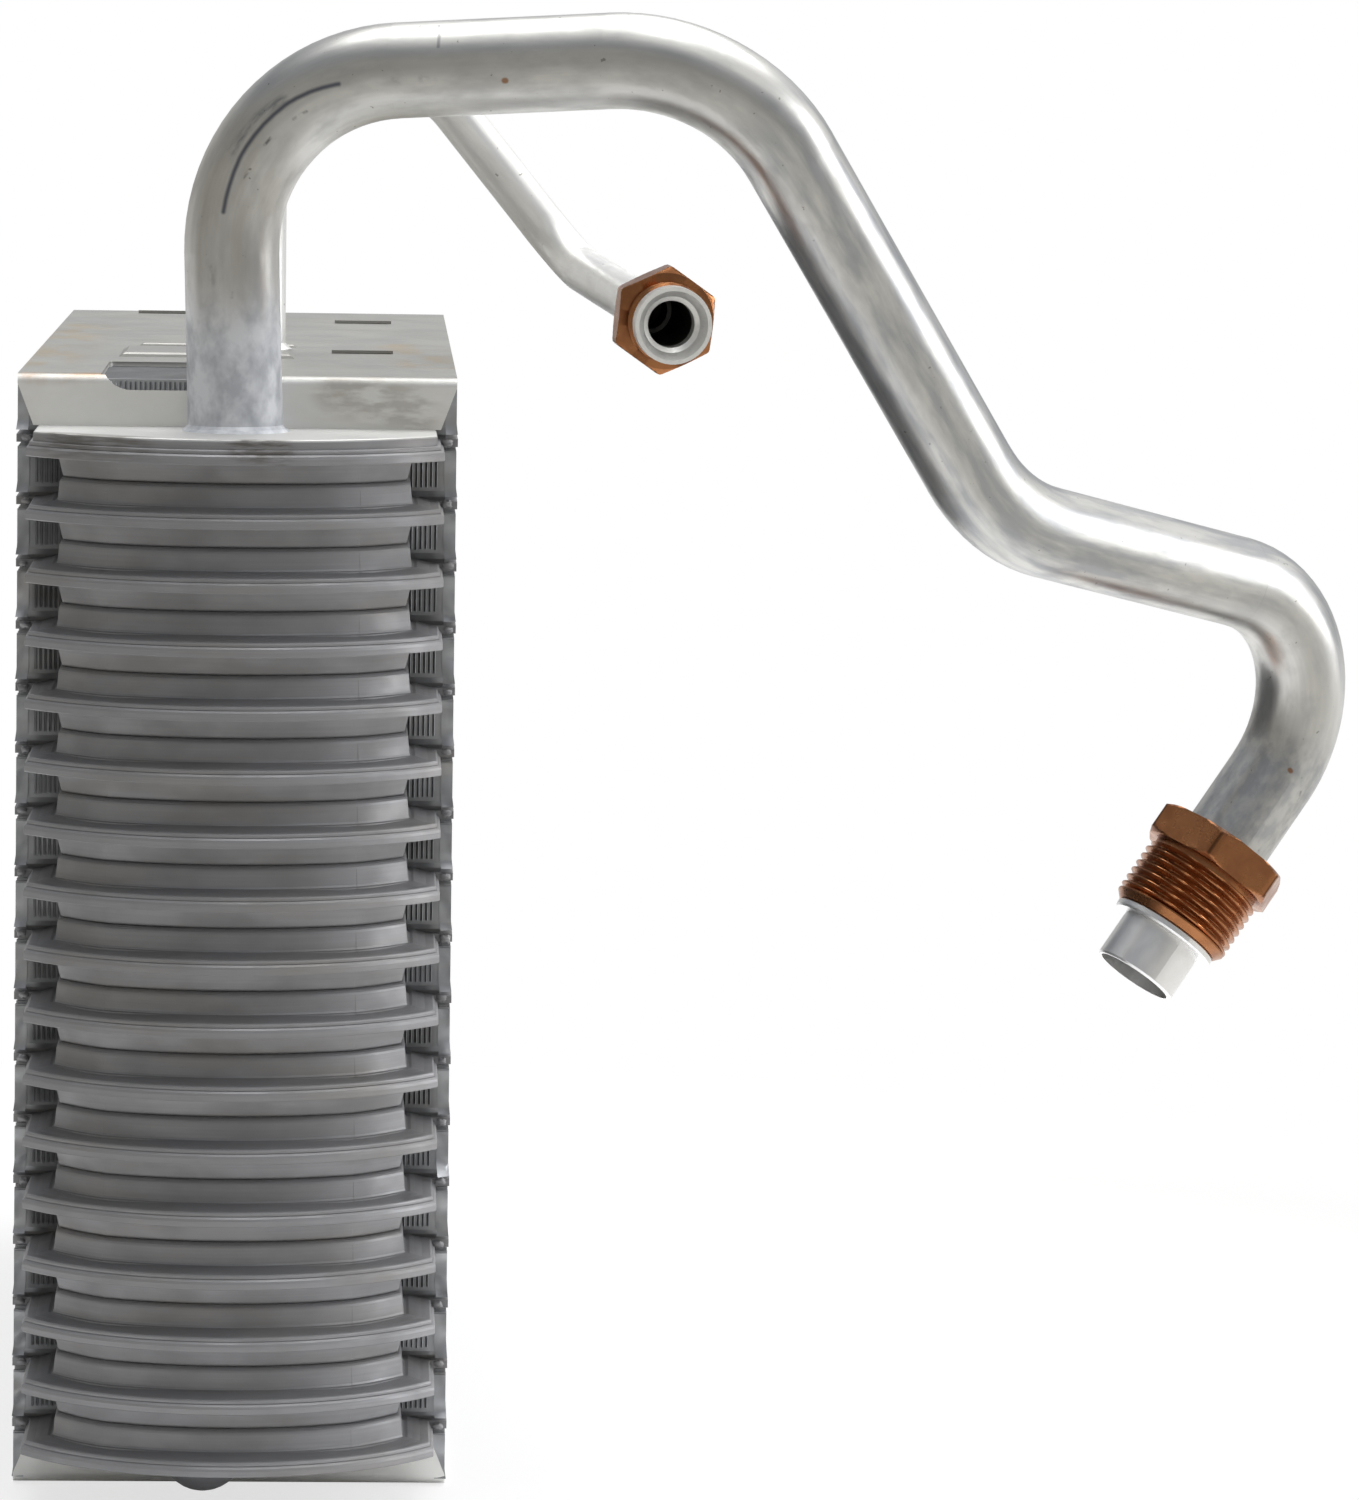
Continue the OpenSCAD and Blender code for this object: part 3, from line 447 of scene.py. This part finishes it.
# Handling marks on the suction pipe. Each place is its distance along the pipe in millimetres and its
# angle in degrees from the pipe's front, growing to the right
scratch = {"radius": 0.05, "fade": 0.75, "colour": "#4a5060", "strength": 0.85}
faint = {"radius": 0.1, "fade": 1.5, "grain": (1.6, 1.6, 5.0), "colour": "#5c6370", "strength": 0.6}
dash = {"radius": 0.02, "fade": 0.5, "grain": (1.8, 1.8, 2.6), "colour": "#4c4b4d", "strength": 0.75}
smudge = {"radius": 0.1, "fade": 1.1, "grain": (2.2, 2.2, 3.0), "colour": "#74777f", "strength": 0.45}
rust = {"radius": 0.35, "fade": 0.5, "colour": "#8a5a2c", "strength": 0.8}
joint = {"radius": 0.15, "fade": 0.35, "colour": "#77767a", "strength": 0.6}
handlingMarks = [
    (scratch, [(44.3, -14), (49.9, -16), (56.4, -19), (63.5, -19), (70.0, -18), (75.5, -14), (80.7, -9)]),
    (faint, [(56.1, -31), (63.1, -31), (69.4, -26)]),
    (dash, [(27.3, 0), (28.2, 1)]),
    (dash, [(51.7, -4), (54.2, -2)]),
    (dash, [(60.2, -2), (62.4, -2)]),
    (dash, [(68.7, 1), (71.9, 3)]),
    (dash, [(391.9, -35), (393.7, -39)]),
    (smudge, [(25.3, -26), (24.0, -26)]),
    (smudge, [(33.1, -23), (30.0, -24)]),
    (smudge, [(92.5, -3), (93.5, -1)]),
    (smudge, [(97.8, -2), (100.1, 0)]),
    (joint, [(100.8, -76), (101.3, -55), (101.3, -40)]),
    (rust, [(114.4, 5), (114.6, 5)]),
    (rust, [(389.5, -3), (389.6, -4)]),
]


# The unrolled place of a point on the suction pipe's skin
def skinPlace(along, degrees):
    angle = math.radians(degrees)
    return -tubeLook["radius"] * math.sin(angle), tubeLook["radius"] * math.cos(angle), along


suctionMarks = [dict(look, line=[skinPlace(*place) for place in line]) for look, line in handlingMarks]
# Dull streaks along the suction pipe, laid widely over the drop as painted shade, stains above its foot and
# its nut, and a painted highlight on the spigot
suctionStainsAndShading = [
    # Painted shade in dull streaks that dims the drop and the leg after it, where the side lamp lights them
    {"line": [(0, 0, 177.7), (0, 0, 258.3), (0, 0, 280.4), (12.1, -7, 360.2)], "radius": 11, "fade": 10,
     "grain": (2.6, 2.6, 15), "colour": "#8f939b", "strength": 0.5},
    {"line": [(0, 0, 19.9), (3.6, -0.7, 50.9)], "radius": 11, "fade": 8, "grain": (3, 3, 14),
     "colour": "#a8a094", "strength": 0.22},
    {"line": [(0, 0, suctionLength - 52), (0, 0, suctionLength - 36)], "radius": 11, "fade": 5,
     "grain": (2.4, 2.4, 4), "colour": "#93969e", "strength": 0.5},
    # Painted highlight: the spigot is whitened to stand for the light it catches
    {"line": [(0, 0, suctionLength - 10), (0, 0, suctionLength + 2)], "radius": 11, "fade": 4,
     "colour": "#ffffff", "strength": 0.7},
]
# The foot of the suction pipe is matte and blotched from brazing
brazedFoot = {
    "line": [(0, 0, -1.1), (0, 0, 10.9)],
    "radius": 10,
    "fade": 15,
    "grain": (4.2, 4.2, 5.5),
    "colour": "#e3e5e9",
    "blotch": "#bfc2c8",
    "roughness": 0.6,
    "metallic": 0.5,
}
drawnAluminiumTube = tubeMaterial("drawnAluminiumTube", tubeLook, suctionStainsAndShading + suctionMarks, brazedFoot)

# The liquid pipe is such a tube too, smaller, paler and less shiny, with painted shade inside its mouth
liquidLook = dict(tubeLook, radius=4.8, base="#fafaf7", scuff="#e9e8e5", metallic=0.7, roughness=(0.34, 0.46))
paintedMouthShade = {
    "line": [(0, 0, liquidLength - 8), (0, 0, liquidLength - 34)],
    "radius": 4.8,
    "fade": 0.3,
    "colour": "#171614",
    "strength": 0.94,
}
paleDrawnAluminiumTube = tubeMaterial("paleDrawnAluminiumTube", liquidLook, [paintedMouthShade])

# Both nuts, in millimetres. Each front face stands back from its pipe's end
suctionNutShape = {
    "fromEnd": 12.3,
    "flats": 28.6,
    "hexLength": 7.2,
    "threadDiameter": 26.9,
    "threadLength": 15.0,
    "threadPitch": 1.814,
    "threadDepth": 1.0,
    "relief": 1.3,
    "frontChamfer": 1.5,
    "plainFront": 1.9,
    "bore": 19.65,
    "bevel": 0.8,
    "cornerFlat": 0.22,
    "turn": 33,
}
liquidNutShape = {
    "fromEnd": 3.5,
    "flats": 19.05,
    "hexLength": 6.0,
    "threadDiameter": 15.875,
    "threadLength": 5.5,
    "threadPitch": 1.411,
    "threadDepth": 0.8,
    "relief": 0.9,
    "frontChamfer": 1.0,
    "plainFront": 0.7,
    "bore": 11.2,
    "bevel": 1.0,
    "cornerFlat": 0.16,
    "turn": 25,
}


# A nut's middle front point and its two cross directions
def nutFrame(nut, end, axis):
    x = unit(np.cross([0.0, 0.0, 1.0], axis))
    return np.array(end) - nut["fromEnd"] * axis, x, np.cross(axis, x)


def nutRidges(nut, end, axis):
    origin, x, y = nutFrame(nut, end, axis)
    corner = nut["flats"] / 2 / math.cos(math.pi / 6) - nut["cornerFlat"]
    ridges = []
    for k in range(6):
        angle = math.radians(60 * k + nut["turn"])
        front = origin - nut["threadLength"] * axis + corner * (x * math.cos(angle) + y * math.sin(angle))
        ridges.append((front, front - nut["hexLength"] * axis))
    return ridges


# Turned brass with a dark brown patina and a warm dull shine, with painted shade along the ridges of the
# hexagon
nutLook = {
    "base": "#a8724c",
    "dark": "#6b4029",
    "paintedRidgeShade": "#2c1c14",
    "paintedRidgeShadeStrength": 0.6,
    "paintedRidgeShadeRadius": 0.12,
    "paintedRidgeShadeFade": 0.5,
    "roughness": (0.22, 0.36),
    "patchSize": 5,
    "patchStrength": 0.45,
    "bumpSize": 0.8,
    "bump": 0.05,
    "bumpDepth": 0.1,
}


def nutMaterial(name, look, ridges):
    material, tree, shader = startMaterial(name, 1.0)
    place = addNode(tree, "TexCoord").outputs["Object"]
    patches = grain(tree, place, [look["patchSize"]] * 3, low=0.35, high=0.7)
    fine = grain(tree, place, [look["bumpSize"]] * 3, low=0.3, high=0.7)
    colour = tint(tree, look["base"], look["dark"], patches, look["patchStrength"])
    # Painted shade: a dark line along each corner ridge of the hexagon
    for a, b in ridges:
        mask = lineMask(tree, place, a, b, look["paintedRidgeShadeRadius"], look["paintedRidgeShadeFade"])
        colour = tint(tree, colour, look["paintedRidgeShade"], mask, look["paintedRidgeShadeStrength"])
    tree.links.new(colour, shader.inputs["Base Color"])
    shiny, dull = look["roughness"]
    rough = addNode(tree, "MapRange", None, {0: patches, 3: shiny, 4: dull}).outputs[0]
    tree.links.new(rough, shader.inputs["Roughness"])
    bump = addNode(tree, "Bump", None,
                   {"Strength": look["bump"], "Distance": look["bumpDepth"] * mm, "Height": fine})
    tree.links.new(bump.outputs[0], shader.inputs["Normal"])
    return material


suctionRidges = nutRidges(suctionNutShape, suctionEnd, suctionAxis)
materials = {
    "end_plate_sheet": foldedAluminiumSheet,
    "tube_plate_sheet": brazedAluminiumCups,
    "fin_foil": corrugatedAluminiumFoil,
    "suction_tube": drawnAluminiumTube,
    "liquid_tube": paleDrawnAluminiumTube,
    "fitting_nut": nutMaterial("turnedBrassPatina", nutLook, suctionRidges),
}
slotOf = {part["node"]: part["material_slot"] for part in frame["record"]["subparts"]}


def setMaterial(obj, slotName):
    obj.data.materials.clear()
    obj.data.materials.append(materials[slotName])


for name, obj in nodes.items():
    setMaterial(obj, slotOf[name])
print("materials made")


# Makes an added piece from points in millimetres and gives it its slot's material and its body
def addPiece(name, points, faces, slotName, smoothAngle=30):
    mesh = bpy.data.meshes.new(name)
    mesh.from_pydata([tuple(c * mm for c in p) for p in points], [], faces)
    mesh.validate()
    mesh.shade_smooth()
    mesh.set_sharp_from_angle(angle=math.radians(smoothAngle))
    obj = bpy.data.objects.new(name, mesh)
    bpy.context.scene.collection.objects.link(obj)
    setMaterial(obj, slotName)
    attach(obj, "root")
    return obj


# Louvres cut in the fins' end walls: upright blades, turned out of the foil. Lengths in millimetres
louvres = {
    "spacing": 1.0,
    "width": 0.7,
    "thickness": 0.12,
    "turn": 52,
    "turnSpread": 4,
    "clearTop": 0.5,
    "clearBottom": 2.2,
    "bottomSpread": 0.1,
    "halfWidth": 40.6,
    "standOff": 0.32,
}


def addLouvres():
    count = int(2 * louvres["halfWidth"] / louvres["spacing"])
    turnSpread, bottomSpread = louvres["turnSpread"], louvres["bottomSpread"]
    for i in range(1, core["pairs"] + 2):
        points, faces = [], []
        z0 = finBottom(i) + louvres["clearBottom"]
        z1 = finBottom(i) + finHeight(i) - louvres["clearTop"]
        for side in (-1, 1):
            y = side * (core["length"] / 2 + louvres["standOff"])
            for k in range(count + 1):
                x = -louvres["halfWidth"] + k * louvres["spacing"]
                angle = math.radians(louvres["turn"] + random.uniform(-turnSpread, turnSpread))
                c, s = math.cos(angle), math.sin(angle) * side
                f = len(points)
                for z in (z0 + random.uniform(-bottomSpread, bottomSpread), z1):
                    for u, v in ((-1, -1), (1, -1), (1, 1), (-1, 1)):
                        a, b = u * louvres["width"] / 2, v * louvres["thickness"] / 2
                        points.append((x + a * c - b * s, y + a * s + b * c, z))
                faces += [(f, f + 1, f + 5, f + 4), (f + 1, f + 2, f + 6, f + 5),
                          (f + 2, f + 3, f + 7, f + 6), (f + 3, f, f + 4, f + 7),
                          (f + 3, f + 2, f + 1, f), (f + 4, f + 5, f + 6, f + 7)]
        addPiece("finLouvres%02d" % i, points, faces, "fin_foil")


addLouvres()
print("louvres added")

# Plain edge strips of the fins' end walls, outside the louvres, wrinkled by handling. Lengths are in
# millimetres, waves in radians over the strip, and shares are parts of its height
edgeStrips = {
    "inner": 42.0,
    "outer": 44.4,
    "thickness": 0.16,
    "standOff": 0.55,
    "endGap": 0.25,
    "wrinkle": 0.28,
    "wrinkleSpread": (0.5, 1.0),
    "slowWaveUp": 5,
    "slowWaveAcross": 2,
    "fastWaveUp": 11,
    "fastWaveHeight": 0.6,
    "innerWrinkle": 0.3,
    "flare": 0.7,
    "flareShare": 0.25,
    "flareSideways": 0.3,
    "bentFin": 13,
    "bentReach": 2.6,
    "bentShare": 0.4,
    "bentPower": 1.5,
    "bentFade": 0.8,
    "columns": 4,
    "rows": 10,
}


# A point of a strip's outer face, or of its inner face on layer 1, with u across it and v up it
def stripPoint(i, side, hand, layer, u, v, phase, wave):
    strip = edgeStrips
    x = strip["inner"] + u * (strip["outer"] - strip["inner"])
    z = finBottom(i) + strip["endGap"] + v * (finHeight(i) - 2 * strip["endGap"])
    slow = math.sin(phase + strip["slowWaveUp"] * v + strip["slowWaveAcross"] * u)
    fast = strip["fastWaveHeight"] * math.sin(strip["fastWaveUp"] * v + phase * 2)
    curl = wave * (slow + fast) * (strip["innerWrinkle"] + u)
    low = max(0, 1 - v / strip["flareShare"])
    flare = strip["flare"] * low * low
    if i == strip["bentFin"] and side < 0 < hand:
        bent = max(0, 1 - v / strip["bentShare"]) ** strip["bentPower"]
        flare += strip["bentReach"] * bent * (1 - strip["bentFade"] * u)
    y = core["length"] / 2 + strip["standOff"] + curl + flare - layer * strip["thickness"]
    return hand * (x + strip["flareSideways"] * low), side * y, z


def addEdgeStrips():
    columns, rows = edgeStrips["columns"], edgeStrips["rows"]
    size = (rows + 1) * (columns + 1)
    rim = ([r * (columns + 1) for r in range(rows + 1)]
           + [rows * (columns + 1) + c for c in range(1, columns + 1)]
           + [r * (columns + 1) + columns for r in range(rows - 1, -1, -1)]
           + [c for c in range(columns - 1, 0, -1)])
    for i in range(1, core["pairs"] + 2):
        points, faces = [], []
        for side in (-1, 1):
            for hand in (-1, 1):
                phase = random.uniform(0, 6)
                wave = edgeStrips["wrinkle"] * random.uniform(*edgeStrips["wrinkleSpread"])
                first = len(points)
                for layer in (0, 1):
                    for r in range(rows + 1):
                        for c in range(columns + 1):
                            u, v = c / columns, r / rows
                            points.append(stripPoint(i, side, hand, layer, u, v, phase, wave))
                for layer in (0, 1):
                    for r in range(rows):
                        for c in range(columns):
                            a = first + layer * size + r * (columns + 1) + c
                            quad = (a, a + 1, a + columns + 2, a + columns + 1)
                            faces.append(quad if (layer == 0) == (side * hand < 0) else quad[::-1])
                for k in range(len(rim)):
                    a, b = first + rim[k], first + rim[(k + 1) % len(rim)]
                    quad = (a, b, b + size, a + size)
                    faces.append(quad if side * hand < 0 else quad[::-1])
        addPiece("finEdgeStrips%02d" % i, points, faces, "fin_foil", 60)


addEdgeStrips()
print("edge strips added")

# Knots of braze at the rims' ends, beside each seam, in millimetres
knots = {
    "x": 42.9,
    "radius": 0.9,
    "radiusSpread": (0.75, 1.15),
    "sideways": (-0.4, 0.4),
    "upward": (-0.2, 0.5),
    "lumps": 0.3,
    "lumpsDown": 3,
    "lumpsAround": 2,
    "stretch": (1.35, 0.7, 0.8),
    "rows": 7,
    "columns": 12,
}


def addKnots():
    points, faces = [], []
    rows, columns = knots["rows"], knots["columns"]
    for i in range(1, core["pairs"] + 1):
        for side in (-1, 1):
            for hand in (-1, 1):
                size = knots["radius"] * random.uniform(*knots["radiusSpread"])
                phase = random.uniform(0, 6)
                centre = (hand * (knots["x"] + random.uniform(*knots["sideways"])), side * core["length"] / 2,
                          seamHeight(i) + random.uniform(*knots["upward"]))
                first = len(points)
                for r in range(rows + 1):
                    for c in range(columns):
                        a, b = math.pi * r / rows, 2 * math.pi * c / columns
                        down, around = knots["lumpsDown"] * a + phase, knots["lumpsAround"] * b + phase
                        lump = size * (1 + knots["lumps"] * math.sin(down) * math.cos(around))
                        direction = (math.sin(a) * math.cos(b), math.sin(a) * math.sin(b), math.cos(a))
                        parts = zip(centre, knots["stretch"], direction)
                        points.append([middle + lump * stretch * d for middle, stretch, d in parts])
                for r in range(rows):
                    for c in range(columns):
                        d = (c + 1) % columns
                        a, b = first + r * columns, first + (r + 1) * columns
                        faces.append((a + c, b + c, b + d, a + d))
    addPiece("brazeKnots", points, faces, "tube_plate_sheet", 60)


addKnots()
print("knots added")

# How the nuts are cut. Slopes are radius per length, the tooth's and the plain front's heights are parts of
# the thread's depth, and the rest is in millimetres
nutCut = {
    "bevelSlope": 1.7,
    "bevelRows": [0, 0.08, 0.25, 0.5, 0.8, 1.15, 1.6, 2.1],
    "chamferSlope": 0.9,
    "toothHeight": 1.25,
    "toothFoot": 0.1,
    "plainHeight": 0.86,
    "rearBoreBevel": 0.6,
    "frontBoreBevel": 0.5,
    "frontBoreDepth": 0.4,
    "stepBack": 0.002,
    "columns": 120,
    "rowsPerPitch": 12,
}


# A nut with a cut thread, standing for the plain one. Its front face is at z = 0 and it runs back to -z
def nutRadius(nut, theta, z):
    if z < -nut["threadLength"]:
        corner = nut["flats"] / 2 / math.cos(math.pi / 6)
        flat = nut["flats"] / 2 / math.cos((theta % (math.pi / 3)) - math.pi / 6)
        depth = min(z + nut["hexLength"] + nut["threadLength"], -nut["threadLength"] - z)
        cone = corner - (corner - nut["flats"] / 2) * nut["bevel"] + depth * nutCut["bevelSlope"]
        return min(flat, cone, corner - nut["cornerFlat"])
    root = nut["threadDiameter"] / 2 - nut["threadDepth"]
    if z < -nut["threadLength"] + nut["relief"]:
        return root
    phase = (z / nut["threadPitch"] + theta / (2 * math.pi)) % 1
    tooth = min(1, max(0, nutCut["toothHeight"] * (1 - abs(2 * phase - 1)) - nutCut["toothFoot"]))
    if z > -nut["plainFront"]:
        tooth = nutCut["plainHeight"]
    chamfer = nut["threadDiameter"] / 2 - z * nutCut["chamferSlope"] - nut["frontChamfer"]
    return min(root + nut["threadDepth"] * tooth, chamfer)


def addNut(name, replaced, nut, end, axis):
    columns = nutCut["columns"]
    threadLength = nut["threadLength"]
    length = nut["hexLength"] + threadLength
    bevelRows = [b for b in nutCut["bevelRows"] if b < nut["hexLength"] / 2]
    heights = [-length + b for b in bevelRows] + [-threadLength - b for b in reversed(bevelRows)]
    heights[-1] -= nutCut["stepBack"]
    rows = int(threadLength / nut["threadPitch"] * nutCut["rowsPerPitch"])
    heights += [-threadLength + threadLength * k / rows for k in range(rows + 1)]
    origin, x, y = nutFrame(nut, end, axis)
    points, faces = [], []

    def ring(radiusAt, height):
        first = len(points)
        for c in range(columns):
            theta = 2 * math.pi * c / columns
            r = radiusAt(theta)
            turned = theta + math.radians(nut["turn"])
            points.append(origin + x * r * math.cos(turned) + y * r * math.sin(turned) + axis * height)
        return first

    bore = nut["bore"] / 2
    rings = [ring(lambda t: bore, -length), ring(lambda t: bore + nutCut["rearBoreBevel"], -length)]
    rings += [ring(lambda t, h=h: nutRadius(nut, t, h), h) for h in heights]
    rings.append(ring(lambda t: bore + nutCut["frontBoreBevel"], 0))
    rings.append(ring(lambda t: bore, -nutCut["frontBoreDepth"]))
    rings.append(rings[0])
    for a, b in zip(rings, rings[1:]):
        for c in range(columns):
            d = (c + 1) % columns
            faces.append((a + c, a + d, b + d, b + c))
    obj = addPiece(name, points, faces, "fitting_nut", 32)
    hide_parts(replaced)


addNut("suctionNutThreaded", "suction_nut", suctionNutShape, suctionEnd, suctionAxis)
addNut("liquidNutThreaded", "liquid_nut", liquidNutShape, liquidEnd, liquidAxis)
print("nuts added")


# Floor and light, in metres. White paper lies under the core and rises behind it, in a grey room that is
# lighter overhead. The camera sees white all round; the metal sees the paper as white and the room as grey
studio = {
    "lowGrey": "#a6a49f",
    "middleGrey": "#8d9198",
    "highGrey": "#ffffff",
    "floorGrey": "#bdbbb6",
    "paper": "#ffffff",
    "paperRoughness": 0.9,
    "paperNear": (0.2, 0.42),
    "paperBehind": (0.05, 0.45),
    "floorHalf": 3,
    "floorDrop": 0.0002,
    "shadowShare": 0.3,
    "backdropShare": 0.3,
    "backdropLevels": (0.35, 0.6),
    "lightSide": (0.4, 0.15, 1.0),
    "middleLevels": (0.12, 0.4),
    "highLevels": (0.6, 0.72),
    "roomStrength": 1.0,
    "lamps": {
        "topSoftbox": {"place": (0.3, 0.3, 1.9), "target": (0.0, 0.0, 0.2),
                       "size": (1.8, 1.8), "power": 27},
        "sideSoftbox": {"place": (1.7, -0.1, 0.5), "target": (0.0, -0.1, 0.2),
                        "size": (0.7, 1.1), "power": 11},
    },
}


# How much of the white background a ray sees: the camera's share, or the share of reflected and passed light
def whiteShare(tree, cameraShare, mirrorShare):
    path = addNode(tree, "LightPath").outputs
    glossy, passed = path["Is Glossy Ray"], path["Is Transmission Ray"]
    camera = addNode(tree, "Math", {"operation": "MULTIPLY"}, {0: path["Is Camera Ray"], 1: cameraShare})
    either = addNode(tree, "Math", {"operation": "MAXIMUM"}, {0: glossy, 1: passed}).outputs[0]
    mirrored = addNode(tree, "Math", {"operation": "MULTIPLY"}, {0: either, 1: mirrorShare}).outputs[0]
    return addNode(tree, "Math", {"operation": "MAXIMUM"}, {0: camera.outputs[0], 1: mirrored}).outputs[0]


def addFloor():
    half = studio["floorHalf"]
    mesh = bpy.data.meshes.new("floor")
    corners = [(-half, -half, 0), (half, -half, 0), (half, half, 0), (-half, half, 0)]
    mesh.from_pydata(corners, [], [(0, 1, 2, 3)])
    floor = bpy.data.objects.new("floor", mesh)
    floor.location.z = lowCorner[2] - studio["floorDrop"]
    bpy.context.scene.collection.objects.link(floor)
    material, tree, shader = startMaterial("whitePaper", 0.0)
    place = addNode(tree, "TexCoord").outputs["Object"]
    away = addNode(tree, "VectorMath", {"operation": "LENGTH"}, {0: place}).outputs["Value"]
    depth = addNode(tree, "SeparateXYZ", None, {0: place}).outputs["Y"]
    inner, outer = studio["paperNear"]
    near = addNode(tree, "MapRange", smoothFade, {0: away, 1: inner, 2: outer, 3: 1.0, 4: 0.0}).outputs[0]
    start, full = studio["paperBehind"]
    behind = addNode(tree, "MapRange", smoothFade, {0: depth, 1: start, 2: full}).outputs[0]
    paper = addNode(tree, "Math", {"operation": "MAXIMUM"}, {0: near, 1: behind}).outputs[0]
    tree.links.new(tint(tree, studio["floorGrey"], studio["paper"], paper), shader.inputs["Base Color"])
    shader.inputs["Roughness"].default_value = studio["paperRoughness"]
    white = addNode(tree, "Emission", None, {"Color": linearColour(studio["paper"]), "Strength": 1.0})
    cameraShare = addNode(tree, "Math", {"operation": "MULTIPLY_ADD"},
                          {0: near, 1: -studio["shadowShare"], 2: 1.0})
    share = whiteShare(tree, cameraShare.outputs[0], behind)
    mix = addNode(tree, "MixShader", None, {0: share, 1: shader.outputs[0], 2: white.outputs[0]})
    tree.links.new(mix.outputs[0], tree.nodes["Material Output"].inputs[0])
    floor.data.materials.append(material)
    floor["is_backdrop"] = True


def addWorld():
    world = bpy.data.worlds.new("studioWorld")
    bpy.context.scene.world = world
    world.use_nodes = True
    tree = world.node_tree
    room = tree.nodes["Background"]
    direction = addNode(tree, "TexCoord").outputs["Generated"]
    parts = addNode(tree, "SeparateXYZ", None, {0: direction}).outputs
    rise = addNode(tree, "VectorMath", {"operation": "DOT_PRODUCT"}, {0: direction, 1: studio["lightSide"]})
    colour = studio["lowGrey"]
    for grey in ("middle", "high"):
        start, full = studio[grey + "Levels"]
        mask = addNode(tree, "MapRange", smoothFade, {0: rise.outputs["Value"], 1: start, 2: full}).outputs[0]
        colour = tint(tree, colour, studio[grey + "Grey"], mask)
    tree.links.new(colour, room.inputs["Color"])
    room.inputs["Strength"].default_value = studio["roomStrength"]
    start, full = studio["backdropLevels"]
    behind = addNode(tree, "MapRange", smoothFade, {0: parts["Y"], 1: start, 2: full}).outputs[0]
    low = addNode(tree, "MapRange", smoothFade, {0: parts["Z"], 1: start, 2: full, 3: 1.0, 4: 0.0}).outputs[0]
    backdrop = addNode(tree, "Math", {"operation": "MULTIPLY"}, {0: behind, 1: low}).outputs[0]
    seen = addNode(tree, "Math", {"operation": "MULTIPLY"},
                   {0: backdrop, 1: studio["backdropShare"]}).outputs[0]
    white = addNode(tree, "Background", None, {"Color": linearColour(studio["paper"]), "Strength": 1.0})
    share = whiteShare(tree, 1.0, seen)
    mix = addNode(tree, "MixShader", None, {0: share, 1: room.outputs[0], 2: white.outputs[0]})
    tree.links.new(mix.outputs[0], tree.nodes["World Output"].inputs[0])


def addLamp(name, place, target, size, power):
    light = bpy.data.lights.new(name, "AREA")
    light.shape = "RECTANGLE"
    light.size, light.size_y = size
    light.energy = power
    lamp = bpy.data.objects.new(name, light)
    lamp.location = place
    direction = Vector(target) - Vector(place)
    lamp.rotation_euler = direction.to_track_quat("-Z", "Y").to_euler()
    bpy.context.scene.collection.objects.link(lamp)
    lamp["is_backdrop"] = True


addFloor()
addWorld()
for name, lamp in studio["lamps"].items():
    addLamp(name, **lamp)
print("studio added")

# Camera, set to the place and lens that fit the photo's corners. Angles in degrees, lens and sensor in mm
cameraPlace = {
    "position": (0.02592, -1.5123, 0.3090),
    "yaw": 2.689,
    "pitch": 6.435,
    "roll": 0.884,
    "lens": 163.2,
    "sensor": 36,
    "clipStart": 0.05,
}


def addCamera():
    yaw, down, roll = (math.radians(cameraPlace[key]) for key in ("yaw", "pitch", "roll"))
    level = math.cos(down)
    forward = Vector((math.sin(yaw) * level, math.cos(yaw) * level, -math.sin(down)))
    levelRight = Vector((math.cos(yaw), -math.sin(yaw), 0))
    levelUp = levelRight.cross(forward)
    right = math.cos(roll) * levelRight + math.sin(roll) * levelUp
    up = -math.sin(roll) * levelRight + math.cos(roll) * levelUp
    data = bpy.data.cameras.new("photoCamera")
    data.lens = cameraPlace["lens"]
    data.sensor_width = cameraPlace["sensor"]
    data.clip_start = cameraPlace["clipStart"]
    camera = bpy.data.objects.new("photoCamera", data)
    rotation = Matrix((right, up, -forward)).transposed().to_4x4()
    camera.matrix_world = Matrix.Translation(Vector(cameraPlace["position"])) @ rotation
    bpy.context.scene.collection.objects.link(camera)
    bpy.context.scene.camera = camera


addCamera()
bpy.context.scene.view_settings.view_transform = "Standard"
print("camera added")

lowCorner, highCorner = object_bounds()
